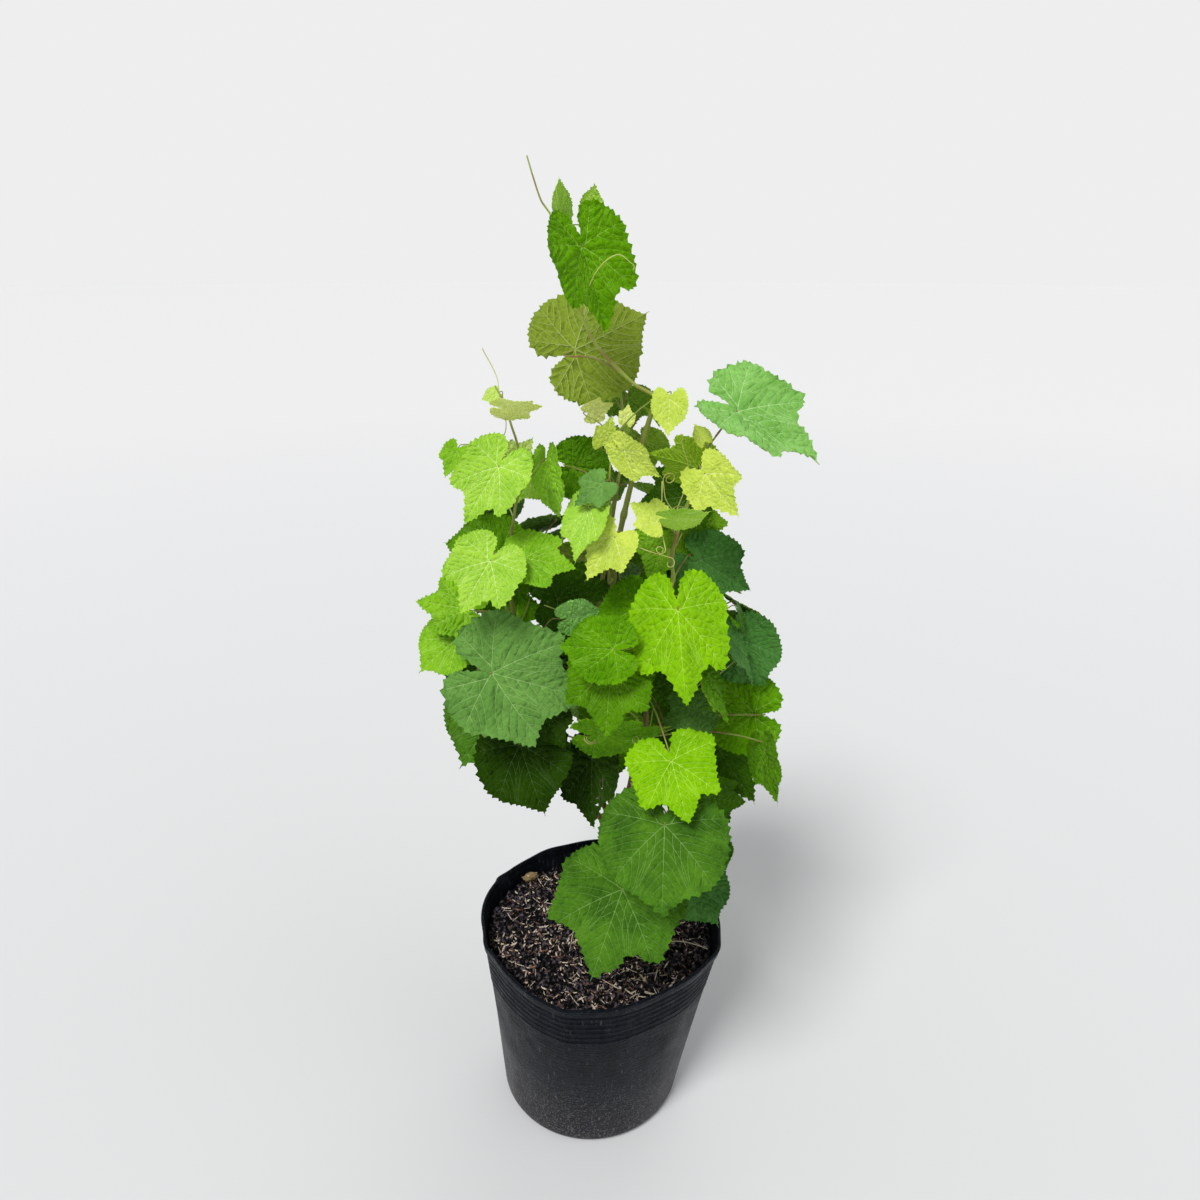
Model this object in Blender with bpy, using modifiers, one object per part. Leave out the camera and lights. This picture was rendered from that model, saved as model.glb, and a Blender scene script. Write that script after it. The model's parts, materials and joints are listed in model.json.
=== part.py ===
"""A young grapevine in a soft plastic nursery pot.

Metres, +Z up.  The origin is the middle of the pot's flat underside, and -Y is the front.
A short trunk stands in the potting mix and forks into four canes.  Every mass of foliage
is one solid: a shoot that meets its cane 0.3 mm clear, with leaf stalks and lobed blades
fused to it.  The leading leaves are placed as a grower would describe them from the front,
shoot by shoot, and the back of the crown is filled by a seeded rule.
"""
import math
import random
from collections import namedtuple

import bmesh
import bpy
from mathutils import Matrix, Vector
from mathutils.bvhtree import BVHTree

CM = 0.01
UP = Vector((0.0, 0.0, 1.0))
CLEAR = 0.0003                # gap between neighbouring solids

# Pot and potting mix
POT_HEIGHT = 0.240
RIM_RADIUS = 0.135
BASE_RADIUS = 0.106
BASE_ROUND = 0.008
WALL = 0.0016
LIP_FALL = 0.012
LIP_PROUD = 0.0022
LEAN_X = 0.012                # the soft pot leans this far to +X at its rim
SQUARENESS = 0.026            # how far the soft rim is pulled towards four corners
CORNER_TURN = math.radians(-16)
RIM_DIP = 0.006               # the front of the rim sits this much lower than the back
POT_STEPS = 32
SOIL_LEVEL = 0.214
SOIL_RINGS = (0.8, 0.55, 0.3)
SOIL_HEAVE = 0.004
SOIL_FLAT = 0.06              # the mix is level this far from the middle, where the trunk stands
SOIL_GAP = 0.0012

# Trunk and canes
TRUNK_SIDES = 12
TRUNK_FOOT = 0.0165
TRUNK_RADIUS = 0.0100
TRUNK_WAIST = 0.12            # it is this much slimmer halfway up
TRUNK_LEVELS = (0.0, 0.05, 0.14, 0.35, 0.6, 0.82, 1.0)
TRUNK_BOW = Vector((0.004, -0.002, 0.0))
ROOT_LOBES = 0.16             # how far the root flare is drawn out into three roots
HEAD_HEIGHT = 0.345
TRUNK_X = 0.008               # the foot and the head stand this far right of the rim's middle
TRUNK_Y = 0.004
HEAD_X = 0.019
CANE_FOOT = 0.0036
CANE_TIP = 0.0024
STEM_FOOT = 0.0024
STEM_TIP = 0.0011
SQUARE_START = 0.003
STALK_FOOT = 0.0012
STALK_TIP = 0.0008
STALK_END = 0.0005            # inside the blade
STALK_ROOM = 0.0013           # limbs are tested this thick, so that they stay clear
STEM_ROOM = 0.0025
STALK_STRAIGHT = 0.004        # a stalk runs straight into its notch for this long
STALK_UNDER = 0.001
STALK_SUNK = 0.002

# Leaves
BLADE = 0.0013                # least thickness of a blade
NOTCH = 0.10                  # the stalk's notch reaches this far behind the midrib's foot
YOUNG = 3.4                   # a leaf with a midrib under this many cm is young, with one lobe
FOLD = 0.14
DROOP = 0.16
STEP_BACK = 0.9               # cm that a leaf which touches a neighbour is moved at a time
TRIES = 17
TEST_BLADE = 0.0034           # blades are tested this thick, so that they stay clear

# Front sighting point: places of leaves are read on the upright plane through the pot's rim
# centre, as seen from here.
SIGHT = Vector((LEAN_X, -0.818, 0.957))

# x and z in cm on that plane, back in cm behind it (minus is in front), clock in degrees with
# 0 up and 90 to the right, lean in degrees with the tip towards the viewer, roll in degrees
# about the midrib (180 shows the underside), size = midrib in cm, fold = lift of both halves,
# wide = breadth against the usual one.
Leaf = namedtuple("Leaf", "x z back clock lean roll size fold wide", defaults=(FOLD, 1.0))


def sighted(x, z, back):
    """The point `back` cm behind the axis plane on the line of sight through (x, z) of it."""
    on_plane = Vector((LEAN_X + x * CM, 0.0, z * CM))
    reach = (back * CM - SIGHT.y) / -SIGHT.y
    return SIGHT + (on_plane - SIGHT) * reach


def seen_at(point):
    """Where a point shows on the axis plane, in cm."""
    reach = -SIGHT.y / (point.y - SIGHT.y)
    on_plane = SIGHT + (point - SIGHT) * reach
    return (on_plane.x - LEAN_X) / CM, on_plane.z / CM


# ---------------------------------------------------------------- objects and materials

def clear_scene():
    for obj in list(bpy.data.objects):
        bpy.data.objects.remove(obj, do_unlink=True)


def collection(name):
    made = bpy.data.collections.new(name)
    bpy.context.scene.collection.children.link(made)
    return made


def material(name, colour, roughness):
    made = bpy.data.materials.new(name)
    made.use_nodes = True
    shader = made.node_tree.nodes["Principled BSDF"]
    shader.inputs["Base Color"].default_value = (*colour, 1.0)
    shader.inputs["Roughness"].default_value = roughness
    return made


def mesh_object(name, bm, group):
    mesh = bpy.data.meshes.new(name)
    bmesh.ops.recalc_face_normals(bm, faces=bm.faces)
    bm.to_mesh(mesh)
    bm.free()
    obj = bpy.data.objects.new(name, mesh)
    group.objects.link(obj)
    return obj


# ---------------------------------------------------------------- pot and potting mix

def soft_shape(co):
    """Leans the pot, squares its plan and dips its front, all growing with height."""
    share = co.z / POT_HEIGHT
    turn = math.atan2(co.y, co.x)
    pull = 1.0 + SQUARENESS * share * math.cos(4.0 * (turn - CORNER_TURN))
    dip = RIM_DIP * share ** 3 * 0.5 * (co.y / RIM_RADIUS - 1.0)
    return Vector((co.x * pull + LEAN_X * share, co.y * pull, co.z + dip))


def wall_radius(z):
    return BASE_RADIUS + (RIM_RADIUS - BASE_RADIUS) * z / POT_HEIGHT


def turned(name, profile, group):
    """A closed turned solid from (radius, height) points that start and end on the axis."""
    mesh = bpy.data.meshes.new(name)
    points = [(radius, 0.0, z) for radius, z in profile]
    mesh.from_pydata(points, [(i, i + 1) for i in range(len(points) - 1)], [])
    obj = bpy.data.objects.new(name, mesh)
    group.objects.link(obj)
    screw = obj.modifiers.new("turn", "SCREW")
    screw.steps = POT_STEPS
    screw.render_steps = POT_STEPS
    screw.use_merge_vertices = True
    screw.merge_threshold = 0.00005
    bpy.context.view_layer.update()
    made = bpy.data.meshes.new_from_object(obj.evaluated_get(bpy.context.evaluated_depsgraph_get()))
    bpy.data.objects.remove(obj, do_unlink=True)
    bm = bmesh.new()
    bm.from_mesh(made)
    bmesh.ops.remove_doubles(bm, verts=bm.verts, dist=0.00005)
    for vert in bm.verts:
        vert.co = soft_shape(vert.co)
    return mesh_object(name, bm, group)


def make_pot(group):
    lip_z = POT_HEIGHT - LIP_FALL
    outside = [
        (0.0, 0.0),
        (BASE_RADIUS - BASE_ROUND, 0.0),
        (BASE_RADIUS - 0.3 * BASE_ROUND, 0.3 * BASE_ROUND),
        (wall_radius(BASE_ROUND), BASE_ROUND),
        (wall_radius(lip_z), lip_z),
        (wall_radius(lip_z) + LIP_PROUD, lip_z + 0.002),
        (RIM_RADIUS + LIP_PROUD, POT_HEIGHT),
    ]
    inside = [
        (RIM_RADIUS - WALL, POT_HEIGHT),
        (wall_radius(BASE_ROUND) - WALL, BASE_ROUND),
        (BASE_RADIUS - BASE_ROUND, WALL),
        (0.0, WALL),
    ]
    pot = turned("pot", outside + inside, group)
    pot.data.materials.append(material("black_plastic", (0.016, 0.019, 0.024), 0.5))
    return pot


def make_soil(group):
    floor = WALL + CLEAR
    room = WALL + SOIL_GAP
    profile = [
        (0.0, floor),
        (BASE_RADIUS - BASE_ROUND - 0.001, floor),
        (wall_radius(BASE_ROUND) - room - 0.0005, BASE_ROUND + CLEAR),
        (wall_radius(SOIL_LEVEL) - room, SOIL_LEVEL),
    ]
    profile += [(wall_radius(SOIL_LEVEL) * share, SOIL_LEVEL) for share in SOIL_RINGS]
    profile.append((0.0, SOIL_LEVEL))
    soil = turned("soil", profile, group)
    rng = random.Random(5)
    for vert in soil.data.vertices:
        near_foot = math.hypot(vert.co.x - LEAN_X, vert.co.y) < SOIL_FLAT
        if vert.co.z > SOIL_LEVEL - 0.006 and not near_foot:
            vert.co.z += SOIL_HEAVE * (rng.random() - 0.6)
    soil.data.materials.append(material("potting_mix", (0.055, 0.043, 0.036), 0.95))
    return soil


# ---------------------------------------------------------------- limbs

def smooth_route(points, per_span=3):
    """A smooth route through the points, whose pull at each one fits the span it leads into."""
    last = len(points) - 1
    headings = []
    for i in range(last + 1):
        headings.append((points[min(i + 1, last)] - points[max(i - 1, 0)]).normalized())
    headings[0] = (points[1] - points[0]).normalized()
    route = []
    for i in range(last):
        start, end = points[i], points[i + 1]
        pull = (end - start).length
        for step in range(per_span):
            t = step / per_span
            rise = t * t * (3 - 2 * t)
            leave = t * (1 - t) ** 2 * pull
            arrive = -t * t * (1 - t) * pull
            route.append(start.lerp(end, rise) + headings[i] * leave + headings[i + 1] * arrive)
    route.append(points[-1].copy())
    return route


def growing_route(start, heading, points, per_span):
    """A route that leaves its start square, so that its end face stays clear of what it meets."""
    straight = start + heading * SQUARE_START
    return [start] + smooth_route([straight, straight + heading * 2 * SQUARE_START] + points, per_span)


def taper(count, foot, tip):
    return [foot + (tip - foot) * i / (count - 1) for i in range(count)]


def limb_mesh(route, radii, sides):
    """A closed limb along a route, as a bevelled curve made a mesh."""
    curve = bpy.data.curves.new("limb", "CURVE")
    curve.dimensions = "3D"
    curve.bevel_depth = 1.0
    curve.bevel_resolution = 0
    curve.use_fill_caps = True
    section = bpy.data.curves.new("section", "CURVE")
    section.dimensions = "2D"
    ring = section.splines.new("POLY")
    ring.points.add(sides - 1)
    for i in range(sides):
        turn = 2 * math.pi * i / sides
        ring.points[i].co = (math.cos(turn), math.sin(turn), 0.0, 1.0)
    ring.use_cyclic_u = True
    section_obj = bpy.data.objects.new("section", section)
    curve.bevel_mode = "OBJECT"
    curve.bevel_object = section_obj
    spline = curve.splines.new("POLY")
    spline.points.add(len(route) - 1)
    for point, place, radius in zip(spline.points, route, radii):
        point.co = (*place, 1.0)
        point.radius = radius
    obj = bpy.data.objects.new("limb", curve)
    bpy.context.scene.collection.objects.link(obj)
    bpy.context.scene.collection.objects.link(section_obj)
    bpy.context.view_layer.update()
    made = bpy.data.meshes.new_from_object(obj.evaluated_get(bpy.context.evaluated_depsgraph_get()))
    bpy.data.objects.remove(obj, do_unlink=True)
    bpy.data.objects.remove(section_obj, do_unlink=True)
    bm = bmesh.new()
    bm.from_mesh(made)
    bmesh.ops.remove_doubles(bm, verts=bm.verts, dist=0.00002)
    bmesh.ops.recalc_face_normals(bm, faces=bm.faces)
    return bm


def make_trunk(group):
    """Root flare at the soil, a slight lean, and a flat head that the canes stand on."""
    foot = Vector((LEAN_X + TRUNK_X, TRUNK_Y, SOIL_LEVEL + 0.002))
    head = Vector((LEAN_X + HEAD_X, 0.0, HEAD_HEIGHT))
    spans = len(TRUNK_LEVELS) - 1
    bm = bmesh.new()
    bmesh.ops.create_cone(bm, cap_ends=True, segments=TRUNK_SIDES, radius1=1.0, radius2=1.0, depth=1.0)
    uprights = [edge for edge in bm.edges if abs(edge.verts[0].co.z - edge.verts[1].co.z) > 0.5]
    bmesh.ops.subdivide_edges(bm, edges=uprights, cuts=spans - 1)
    for vert in bm.verts:
        share = TRUNK_LEVELS[round((vert.co.z + 0.5) * spans)]
        middle = math.sin(math.pi * share)
        turn = math.atan2(vert.co.y, vert.co.x)
        radius = TRUNK_RADIUS + (TRUNK_FOOT - TRUNK_RADIUS) * (1.0 - share) ** 5
        radius *= 1.0 + ROOT_LOBES * (1.0 - share) ** 4 * math.cos(3.0 * turn + 0.6)
        radius *= 1.0 - TRUNK_WAIST * middle
        centre = foot.lerp(head, share) + TRUNK_BOW * middle
        vert.co = centre + Vector((math.cos(turn), math.sin(turn), 0.0)) * radius
    trunk = mesh_object("trunk", bm, group)
    trunk.data.materials.append(material("trunk_bark", (0.12, 0.075, 0.045), 0.9))
    return trunk


# Each cane's route from the trunk's head: x, z, back in cm.
CANES = {
    "cane_left": [(-3.2, 42, 0.5), (-6.0, 51, 1.0), (-8.3, 59, 0.5), (-8.9, 63.5, 0.0)],
    "cane_leader": [(-0.3, 45, 2.2), (0.8, 58, 2.6), (1.6, 68, 1.8), (3.2, 76, 1.0), (4.9, 82.3, 0.0)],
    "cane_right": [(3.4, 42, -2.2), (4.8, 49, -3.6), (4.8, 55.5, -3.8), (6.4, 60.5, -2.0), (7.1, 64.5, -1.0)],
    "cane_back": [(-1.6, 45, 5.0), (-1.0, 57, 7.5), (0.5, 67, 8.0), (1.5, 74, 7.0)],
}
# Where each cane stands on the trunk's head, as shares of the head's radius.
STANDS = {
    "cane_left": (-0.55, -0.25),
    "cane_leader": (0.45, 0.35),
    "cane_right": (0.25, -0.60),
    "cane_back": (-0.30, 0.62),
}


def cane_route(name):
    across, away = STANDS[name]
    head_x = LEAN_X + HEAD_X + across * TRUNK_RADIUS
    stand = Vector((head_x, away * TRUNK_RADIUS, HEAD_HEIGHT + CLEAR))
    return growing_route(stand, UP, [sighted(*place) for place in CANES[name]], 4)


# ---------------------------------------------------------------- leaves

def half_outline(young):
    """One half of a blade's outline as (degrees from the midrib, share of its length)."""
    if young:
        return [(38, 0.66), (78, 0.52), (135, 0.44)]
    return [(23, 0.72), (46, 0.76), (88, 0.56), (135, 0.52), (164, 0.40)]


def blade_points(leaf):
    """The blade's outline in its own frame: x along the midrib, z out of its upper face."""
    young = leaf.size < YOUNG
    half = half_outline(young)
    polar = [(0, 1.0)] + half + [(180, NOTCH)]
    polar += [(-turn, share) for turn, share in reversed(half)]
    points = []
    for turn, share in polar:
        x = math.cos(math.radians(turn)) * share
        y = math.sin(math.radians(turn)) * share * leaf.wide
        z = leaf.fold * abs(y) - DROOP * (x * x + 0.5 * y * y)
        points.append(Vector((x, y, z)) * leaf.size * CM)
    return points


def blade_test(leaf, frame, scale):
    """A search tree of a blade that is rather thicker than the real one."""
    flat = [Vector()] + [point * scale for point in blade_points(leaf)]
    lift = Vector((0.0, 0.0, TEST_BLADE / 2))
    points = [frame @ (point + level) for level in (lift, -lift) for point in flat]
    below = len(flat)
    faces = []
    for i in range(1, below):
        j = i % (below - 1) + 1
        faces += [(0, i, j), (below, below + j, below + i), (i, below + i, below + j, j)]
    return BVHTree.FromPolygons(points, faces)


def blade_mesh(leaf, frame, scale, thickness):
    """A thin closed blade: a fan of faces round the stalk's end, solidified."""
    bm = bmesh.new()
    centre = bm.verts.new(Vector((0.0, 0.0, 0.0)))
    rim = [bm.verts.new(point * scale) for point in blade_points(leaf)]
    for i, vert in enumerate(rim):
        bm.faces.new((centre, vert, rim[(i + 1) % len(rim)]))
    bm.normal_update()
    bmesh.ops.solidify(bm, geom=bm.faces[:], thickness=thickness)
    lift = thickness * 0.5 - max(vert.co.z for vert in bm.verts if vert.co.xy.length < 1e-6)
    for vert in bm.verts:
        vert.co.z += lift
    bmesh.ops.transform(bm, matrix=frame, verts=bm.verts)
    bmesh.ops.recalc_face_normals(bm, faces=bm.faces)
    return bm


def frame_from(place, rib, face, roll):
    turned_face = Matrix.Rotation(math.radians(roll), 3, rib) @ face
    side = turned_face.cross(rib)
    axes = Matrix((rib, side, turned_face)).transposed().to_4x4()
    return Matrix.Translation(place) @ axes


def sighted_frame(leaf, back):
    """The frame of a leaf placed from the front, and its scale at that depth."""
    place = sighted(leaf.x, leaf.z, back)
    ahead = (place - SIGHT).normalized()
    right = ahead.cross(UP).normalized()
    above = right.cross(ahead)
    clock, lean = math.radians(leaf.clock), math.radians(leaf.lean)
    in_view = right * math.sin(clock) + above * math.cos(clock)
    rib = in_view * math.cos(lean) - ahead * math.sin(lean)
    face = -(ahead * math.cos(lean) + in_view * math.sin(lean))
    return frame_from(place, rib, face, leaf.roll), (back * CM - SIGHT.y) / -SIGHT.y


def stalk_route(root, bow, leaf, frame, scale):
    """A stalk from its root to the notch of its blade, and 2 mm on inside the blade."""
    notch = NOTCH * leaf.size * CM * scale
    arrive = frame @ Vector((-notch - STALK_STRAIGHT, 0.0, -STALK_UNDER))
    inside = frame @ Vector((STALK_SUNK - notch, 0.0, 0.0))
    middle = root.lerp(arrive, 0.5) + bow * (arrive - root).length
    return [root, root * 0.25 + middle * 0.5 + arrive * 0.25, arrive, inside]


def best_root(route, end):
    """The place on a shoot that a leaf's stalk comes from: near, and rather below it."""
    def cost(place):
        return (place - end).length + 1.2 * max(0.0, place.z - end.z + 0.01)
    return min(route[3:], key=cost)


def tree_of(bm):
    return BVHTree.FromBMesh(bm)


def touches(tree, taken):
    return any(tree.overlap(other) for other in taken)


# Ways that a leaf stalk may bend, as shares of its length, the natural one first.
BOWS = [(0, 0, 0.16), (0.12, 0, 0.05), (-0.12, 0, 0.05), (0, 0, 0.3), (0.1, 0, -0.08), (-0.25, 0, 0.2)]


def sleeve_test(path, radius):
    """A search tree of a four-sided sleeve that clears a limb of this radius."""
    across = (path[-1] - path[0]).orthogonal()
    points = []
    for i, place in enumerate(path):
        along = (path[min(i + 1, len(path) - 1)] - path[max(i - 1, 0)]).normalized()
        side = (across - along * across.dot(along)).normalized() * radius * math.sqrt(2)
        points += [place + Matrix.Rotation(i * math.pi / 2, 3, along) @ side for i in range(4)]
    faces = []
    for start in range(0, len(points) - 4, 4):
        for i in range(4):
            j = (i + 1) % 4
            faces.append((start + i, start + j, start + 4 + j, start + 4 + i))
    return BVHTree.FromPolygons(points, faces)


def stalk_clear(path, taken):
    return not touches(sleeve_test(path, STALK_ROOM), taken)


def place_leaf(places, route, own, taken):
    """Tries the places in turn until blade and stalk touch nothing, and returns that one."""
    for leaf, frame, scale in places:
        if touches(blade_test(leaf, frame, scale), taken + own):
            continue
        root = best_root(route, frame.translation)
        for bow in BOWS:
            path = stalk_route(root, Vector(bow), leaf, frame, scale)
            free_run = [root.lerp(path[1], 0.2), path[1], path[1].lerp(path[2], 0.95)]
            if stalk_clear(path, taken) and stalk_clear(free_run, own[1:]):
                return leaf, frame, scale, path
    return None


def sighted_frames(leaf):
    for i in range(TRIES):
        side = 1 if i % 2 else -1
        shift = side * ((i + 1) // 2) * STEP_BACK
        yield (leaf, *sighted_frame(leaf, leaf.back + shift))


# ---------------------------------------------------------------- masses set from the front

# Each mass: the cane it grows from, the height in cm where it meets it (None at the tip),
# the rest of its shoot, and its leaves.
Mass = namedtuple("Mass", "cane height shoot leaves")

MASSES = {
    "crown_top": Mass("cane_leader", None, [
        (3.3, 84.2, 0), (0.3, 87, -0.5), (-0.9, 88.7, -0.5), (-2.6, 92.5, -0.5), (-3.5, 95.7, -0.5),
        (-4.1, 98.3, -0.5), (-5.0, 99.6, -0.5), (-6.1, 103.0, -0.5),
    ], [
        Leaf(-3.5, 98.0, -1.0, 8, 0, 68, 3.6),
        Leaf(-0.9, 98.4, 1.0, 15, 0, 30, 2.6),
        Leaf(-1.5, 96.0, -1.5, 160, 5, -30, 7.6, 0.35, 0.82),
        Leaf(-2.3, 87.3, 3.0, 66, -20, 165, 8.0),
    ]),
    "middle_top": Mass("cane_leader", 66, [(1.0, 72.5, -1.5), (0.9, 75.8, -1.5), (1.2, 79.5, -1)], [
        Leaf(-0.9, 81.8, 0.0, 75, 0, 35, 2.4),
        Leaf(0.4, 79.0, -2.0, 20, 10, 25, 2.6),
        Leaf(2.4, 81.0, -1.0, 10, 0, 20, 1.6),
        Leaf(6.4, 83.0, -1.5, 182, 25, 0, 3.5),
        Leaf(2.2, 78.2, -3.0, 130, 20, 40, 4.4, 0.14, 0.8),
        Leaf(-2.6, 76.7, 4.0, 100, -10, 10, 4.6),
        Leaf(0.2, 75.0, -3.0, 235, 10, 20, 3.4),
        Leaf(-1.0, 72.7, -4.0, 200, 20, 30, 5.6, 0.14, 0.7),
        Leaf(1.4, 69.7, -5.0, 215, 10, 10, 5.0),
    ]),
    "right_top": Mass("cane_right", None, [
        (7.1, 68.2, -1), (7.9, 71.5, -1), (8.6, 73.8, -1), (9.3, 76, -1), (10.2, 78.6, -1), (11.9, 81.1, -1),
    ], [
        Leaf(12.7, 81.9, -1.5, 113, 0, -52, 8.8, 0.35, 0.95),
        Leaf(9.7, 79.2, -1.5, 330, 0, 20, 1.8),
        Leaf(12.6, 80.5, -4.0, 120, 10, 20, 1.6),
        Leaf(9.9, 76.0, -3.0, 142, 15, 15, 5.2),
        Leaf(9.2, 76.6, 1.0, 290, 0, 140, 4.8),
        Leaf(8.4, 73.8, 1.5, 262, 0, 10, 5.2),
        Leaf(5.6, 71.3, -4.0, 305, 0, 15, 3.4),
        Leaf(7.1, 71.7, -4.5, 88, 10, 66, 3.7),
        Leaf(9.8, 67.4, 2.0, 120, 0, 0, 5.8),
        Leaf(8.7, 71.0, 4.0, 128, 0, 10, 4.4),
        Leaf(6.9, 70.2, 1.0, 205, 10, 10, 5.4),
        Leaf(7.1, 65.8, 3.5, 258, 0, 20, 4.4),
    ]),
    "left_upper": Mass("cane_left", None, [
        (-8.6, 70, 0), (-7.5, 77.2, 0), (-8.2, 80.5, 0), (-8.9, 82.8, 0), (-9.6, 84.2, 0),
    ], [
        Leaf(-9.5, 83.5, 0.0, 250, 0, 20, 1.5),
        Leaf(-8.6, 82.2, -0.5, 95, 0, 68, 3.7),
        Leaf(-9.6, 76.7, -3.0, 216, 5, 18, 6.4, 0.18, 0.85),
        Leaf(-13.4, 78.2, 1.0, 212, 0, 30, 2.8),
        Leaf(-8.3, 77.0, 1.5, 45, 0, 20, 3.2),
        Leaf(-7.9, 76.2, -1.5, 140, 10, 20, 3.8),
        Leaf(-4.9, 76.6, 1.0, 176, 0, 66, 5.3),
    ]),
    "left_middle": Mass("cane_left", 60, [(-9.6, 63.0, -2.5), (-10.6, 65.0, -3.5), (-11.6, 66.0, -4)], [
        Leaf(-7.4, 67.6, -4.0, 100, 10, -34, 5.2),
        Leaf(-10.8, 67.3, -6.0, 214, 10, 10, 6.0),
        Leaf(-9.8, 68.2, -1.0, 285, 0, 20, 5.8),
        Leaf(-13.6, 62.2, -2.0, 285, 0, 15, 5.0),
        Leaf(-8.0, 64.1, 2.5, 292, 0, 20, 6.2),
        Leaf(-14.6, 58.9, -3.0, 236, 5, 30, 5.2),
    ]),
    "left_back": Mass("cane_left", 56, [(-6.0, 59.5, 3.0), (-4.6, 61.5, 4.5)], [
        Leaf(-4.2, 63.2, 4.5, 80, 0, 25, 6.0),
        Leaf(-3.4, 62.4, 2.0, 208, 0, 20, 4.2),
        Leaf(-3.0, 61.2, 0.0, 80, 0, 35, 3.4),
    ]),
    "left_lower": Mass("cane_left", 49, [(-7.5, 51.0, -2.5), (-9.5, 52.6, -4.0)], [
        Leaf(-11.2, 55.0, -6.5, 109, 5, 5, 11.0, 0.2, 0.92),
        Leaf(-10.5, 51.2, -3.0, 218, 10, 15, 7.8),
        Leaf(-8.6, 46.5, -2.0, 166, 10, 20, 8.2),
        Leaf(-6.3, 50.5, -1.5, 150, 0, 15, 4.8),
        Leaf(-0.9, 44.8, 0.5, 184, 10, 36, 7.4, 0.14, 0.88),
    ]),
    "centre_front": Mass("cane_right", 54, [(4.6, 56.5, -6.5), (4.9, 59.0, -8.0)], [
        Leaf(7.8, 62.1, -9.5, 173, 10, 0, 9.8, -0.6, 0.82),
        Leaf(4.0, 62.6, -6.0, 200, 10, 32, 7.0),
        Leaf(1.4, 57.7, -10.0, 272, 0, -10, 6.0, 0.14, 0.92),
        Leaf(1.2, 55.6, -8.0, 186, 10, 5, 7.2),
        Leaf(0.0, 47.7, -9.0, 93, 0, 66, 7.4),
        Leaf(7.7, 44.5, -11.0, 163, 15, 0, 7.4),
    ]),
    "right_middle": Mass("cane_right", 47, [(8.0, 51.0, -1.5), (10.6, 54.0, 0)], [
        Leaf(14.2, 58.8, 2.0, 150, 0, 10, 5.8),
        Leaf(11.4, 57.6, 4.5, 110, 0, 15, 4.6),
        Leaf(16.3, 50.2, -0.5, 268, 0, 5, 6.6),
        Leaf(5.7, 53.0, 3.5, 100, 0, 15, 4.8),
        Leaf(10.3, 50.5, -3.0, 250, 0, 20, 4.4),
        Leaf(11.0, 48.9, -1.0, 148, 5, 28, 9.6),
        Leaf(17.6, 45.6, 1.0, 168, 0, 60, 5.6),
        Leaf(12.0, 39.8, 1.0, 96, 0, 20, 4.4),
        Leaf(2.0, 49.6, 2.5, 184, 0, 12, 6.6),
    ]),
    "low_front": Mass("cane_right", 42.5, [(4.6, 41.0, -5.5), (5.2, 39.0, -9.0)], [
        Leaf(7.2, 36.2, -13.0, 180, 10, 0, 10.4, 0.08, 1.05),
        Leaf(2.6, 27.3, -12.0, 200, 0, 3, 10.4, 0.1, 1.12),
        Leaf(10.3, 29.2, -8.0, 150, 5, 20, 6.4),
        Leaf(12.5, 33.6, -4.0, 150, 0, 20, 3.5),
    ]),
}


# The back of the crown: the cane, the height in cm where the mass meets it, the rest of its
# shoot, the compass turn that its leaves face (90 is straight back), how many, and their size.
Fill = namedtuple("Fill", "cane height shoot facing count size")

FILLS = {
    "back_top": Fill("cane_back", None, [(2.2, 79, 7.0), (1.6, 85, 7.5), (0.0, 89, 7.5)], 90, 7, 5.0),
    "back_left": Fill("cane_back", 66, [(-3.5, 68.0, 9), (-8.0, 70.5, 8.5)], 130, 7, 6.6),
    "back_right": Fill("cane_back", 63, [(4.5, 64.5, 9.5), (9.0, 66.5, 8.0)], 50, 7, 6.8),
    "back_low_left": Fill("cane_back", 54, [(-5.0, 53.5, 9), (-10.0, 54.5, 8.0)], 140, 8, 8.2),
    "back_low_right": Fill("cane_back", 51, [(4.0, 50.0, 8.5), (9.5, 51.0, 8.0)], 40, 8, 8.2),
    "side_left": Fill("cane_left", 53, [(-8.5, 53.5, 2.5), (-11.0, 56.5, 3.0)], 185, 6, 7.0),
    "side_right": Fill("cane_right", 57.5, [(8.5, 58.0, 1.5), (11.5, 61.5, 2.0)], -5, 6, 7.0),
}
FACING_SPREAD = 62
STALK_SHARE = (0.45, 1.15)    # leaf stalks, as shares of their leaf's midrib
HANG = (28, 62)               # degrees that a midrib hangs below level
FILL_TRIES = 400
FILL_SHRINK = 0.45            # the last try of a leaf is this much smaller

# The crown's outline seen from the front: height, left and right limit in cm.
OUTLINE = [
    (38, -3, 12), (42, -6, 15), (46, -11, 17), (52, -15.5, 18), (58, -17.5, 17.5), (64, -17, 16),
    (70, -15, 13.5), (76, -13, 12), (80, -4, 9.0), (86, -6, 4.0), (92, -6, 3.5), (98, -3, 1),
]
# Where the sky shows through it: x, height and radius in cm.
SKY = [(-8.0, 60.6, 2.4), (-4.2, 47.6, 1.4), (12.2, 55.4, 1.5)]


def inside_outline(x, z):
    if not OUTLINE[0][0] < z < OUTLINE[-1][0]:
        return False
    if any(math.hypot(x - sky_x, z - sky_z) < radius for sky_x, sky_z, radius in SKY):
        return False
    for (low, left, right), (high, next_left, next_right) in zip(OUTLINE, OUTLINE[1:]):
        if low <= z <= high:
            share = (z - low) / (high - low)
            return left + (next_left - left) * share < x < right + (next_right - right) * share
    return False


def covers(rim, x, z):
    """True when a closed outline of (x, z) points goes round a place."""
    inside = False
    for (ax, az), (bx, bz) in zip(rim, rim[1:] + rim[:1]):
        if (az > z) != (bz > z) and x < ax + (bx - ax) * (z - az) / (bz - az):
            inside = not inside
    return inside


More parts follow.
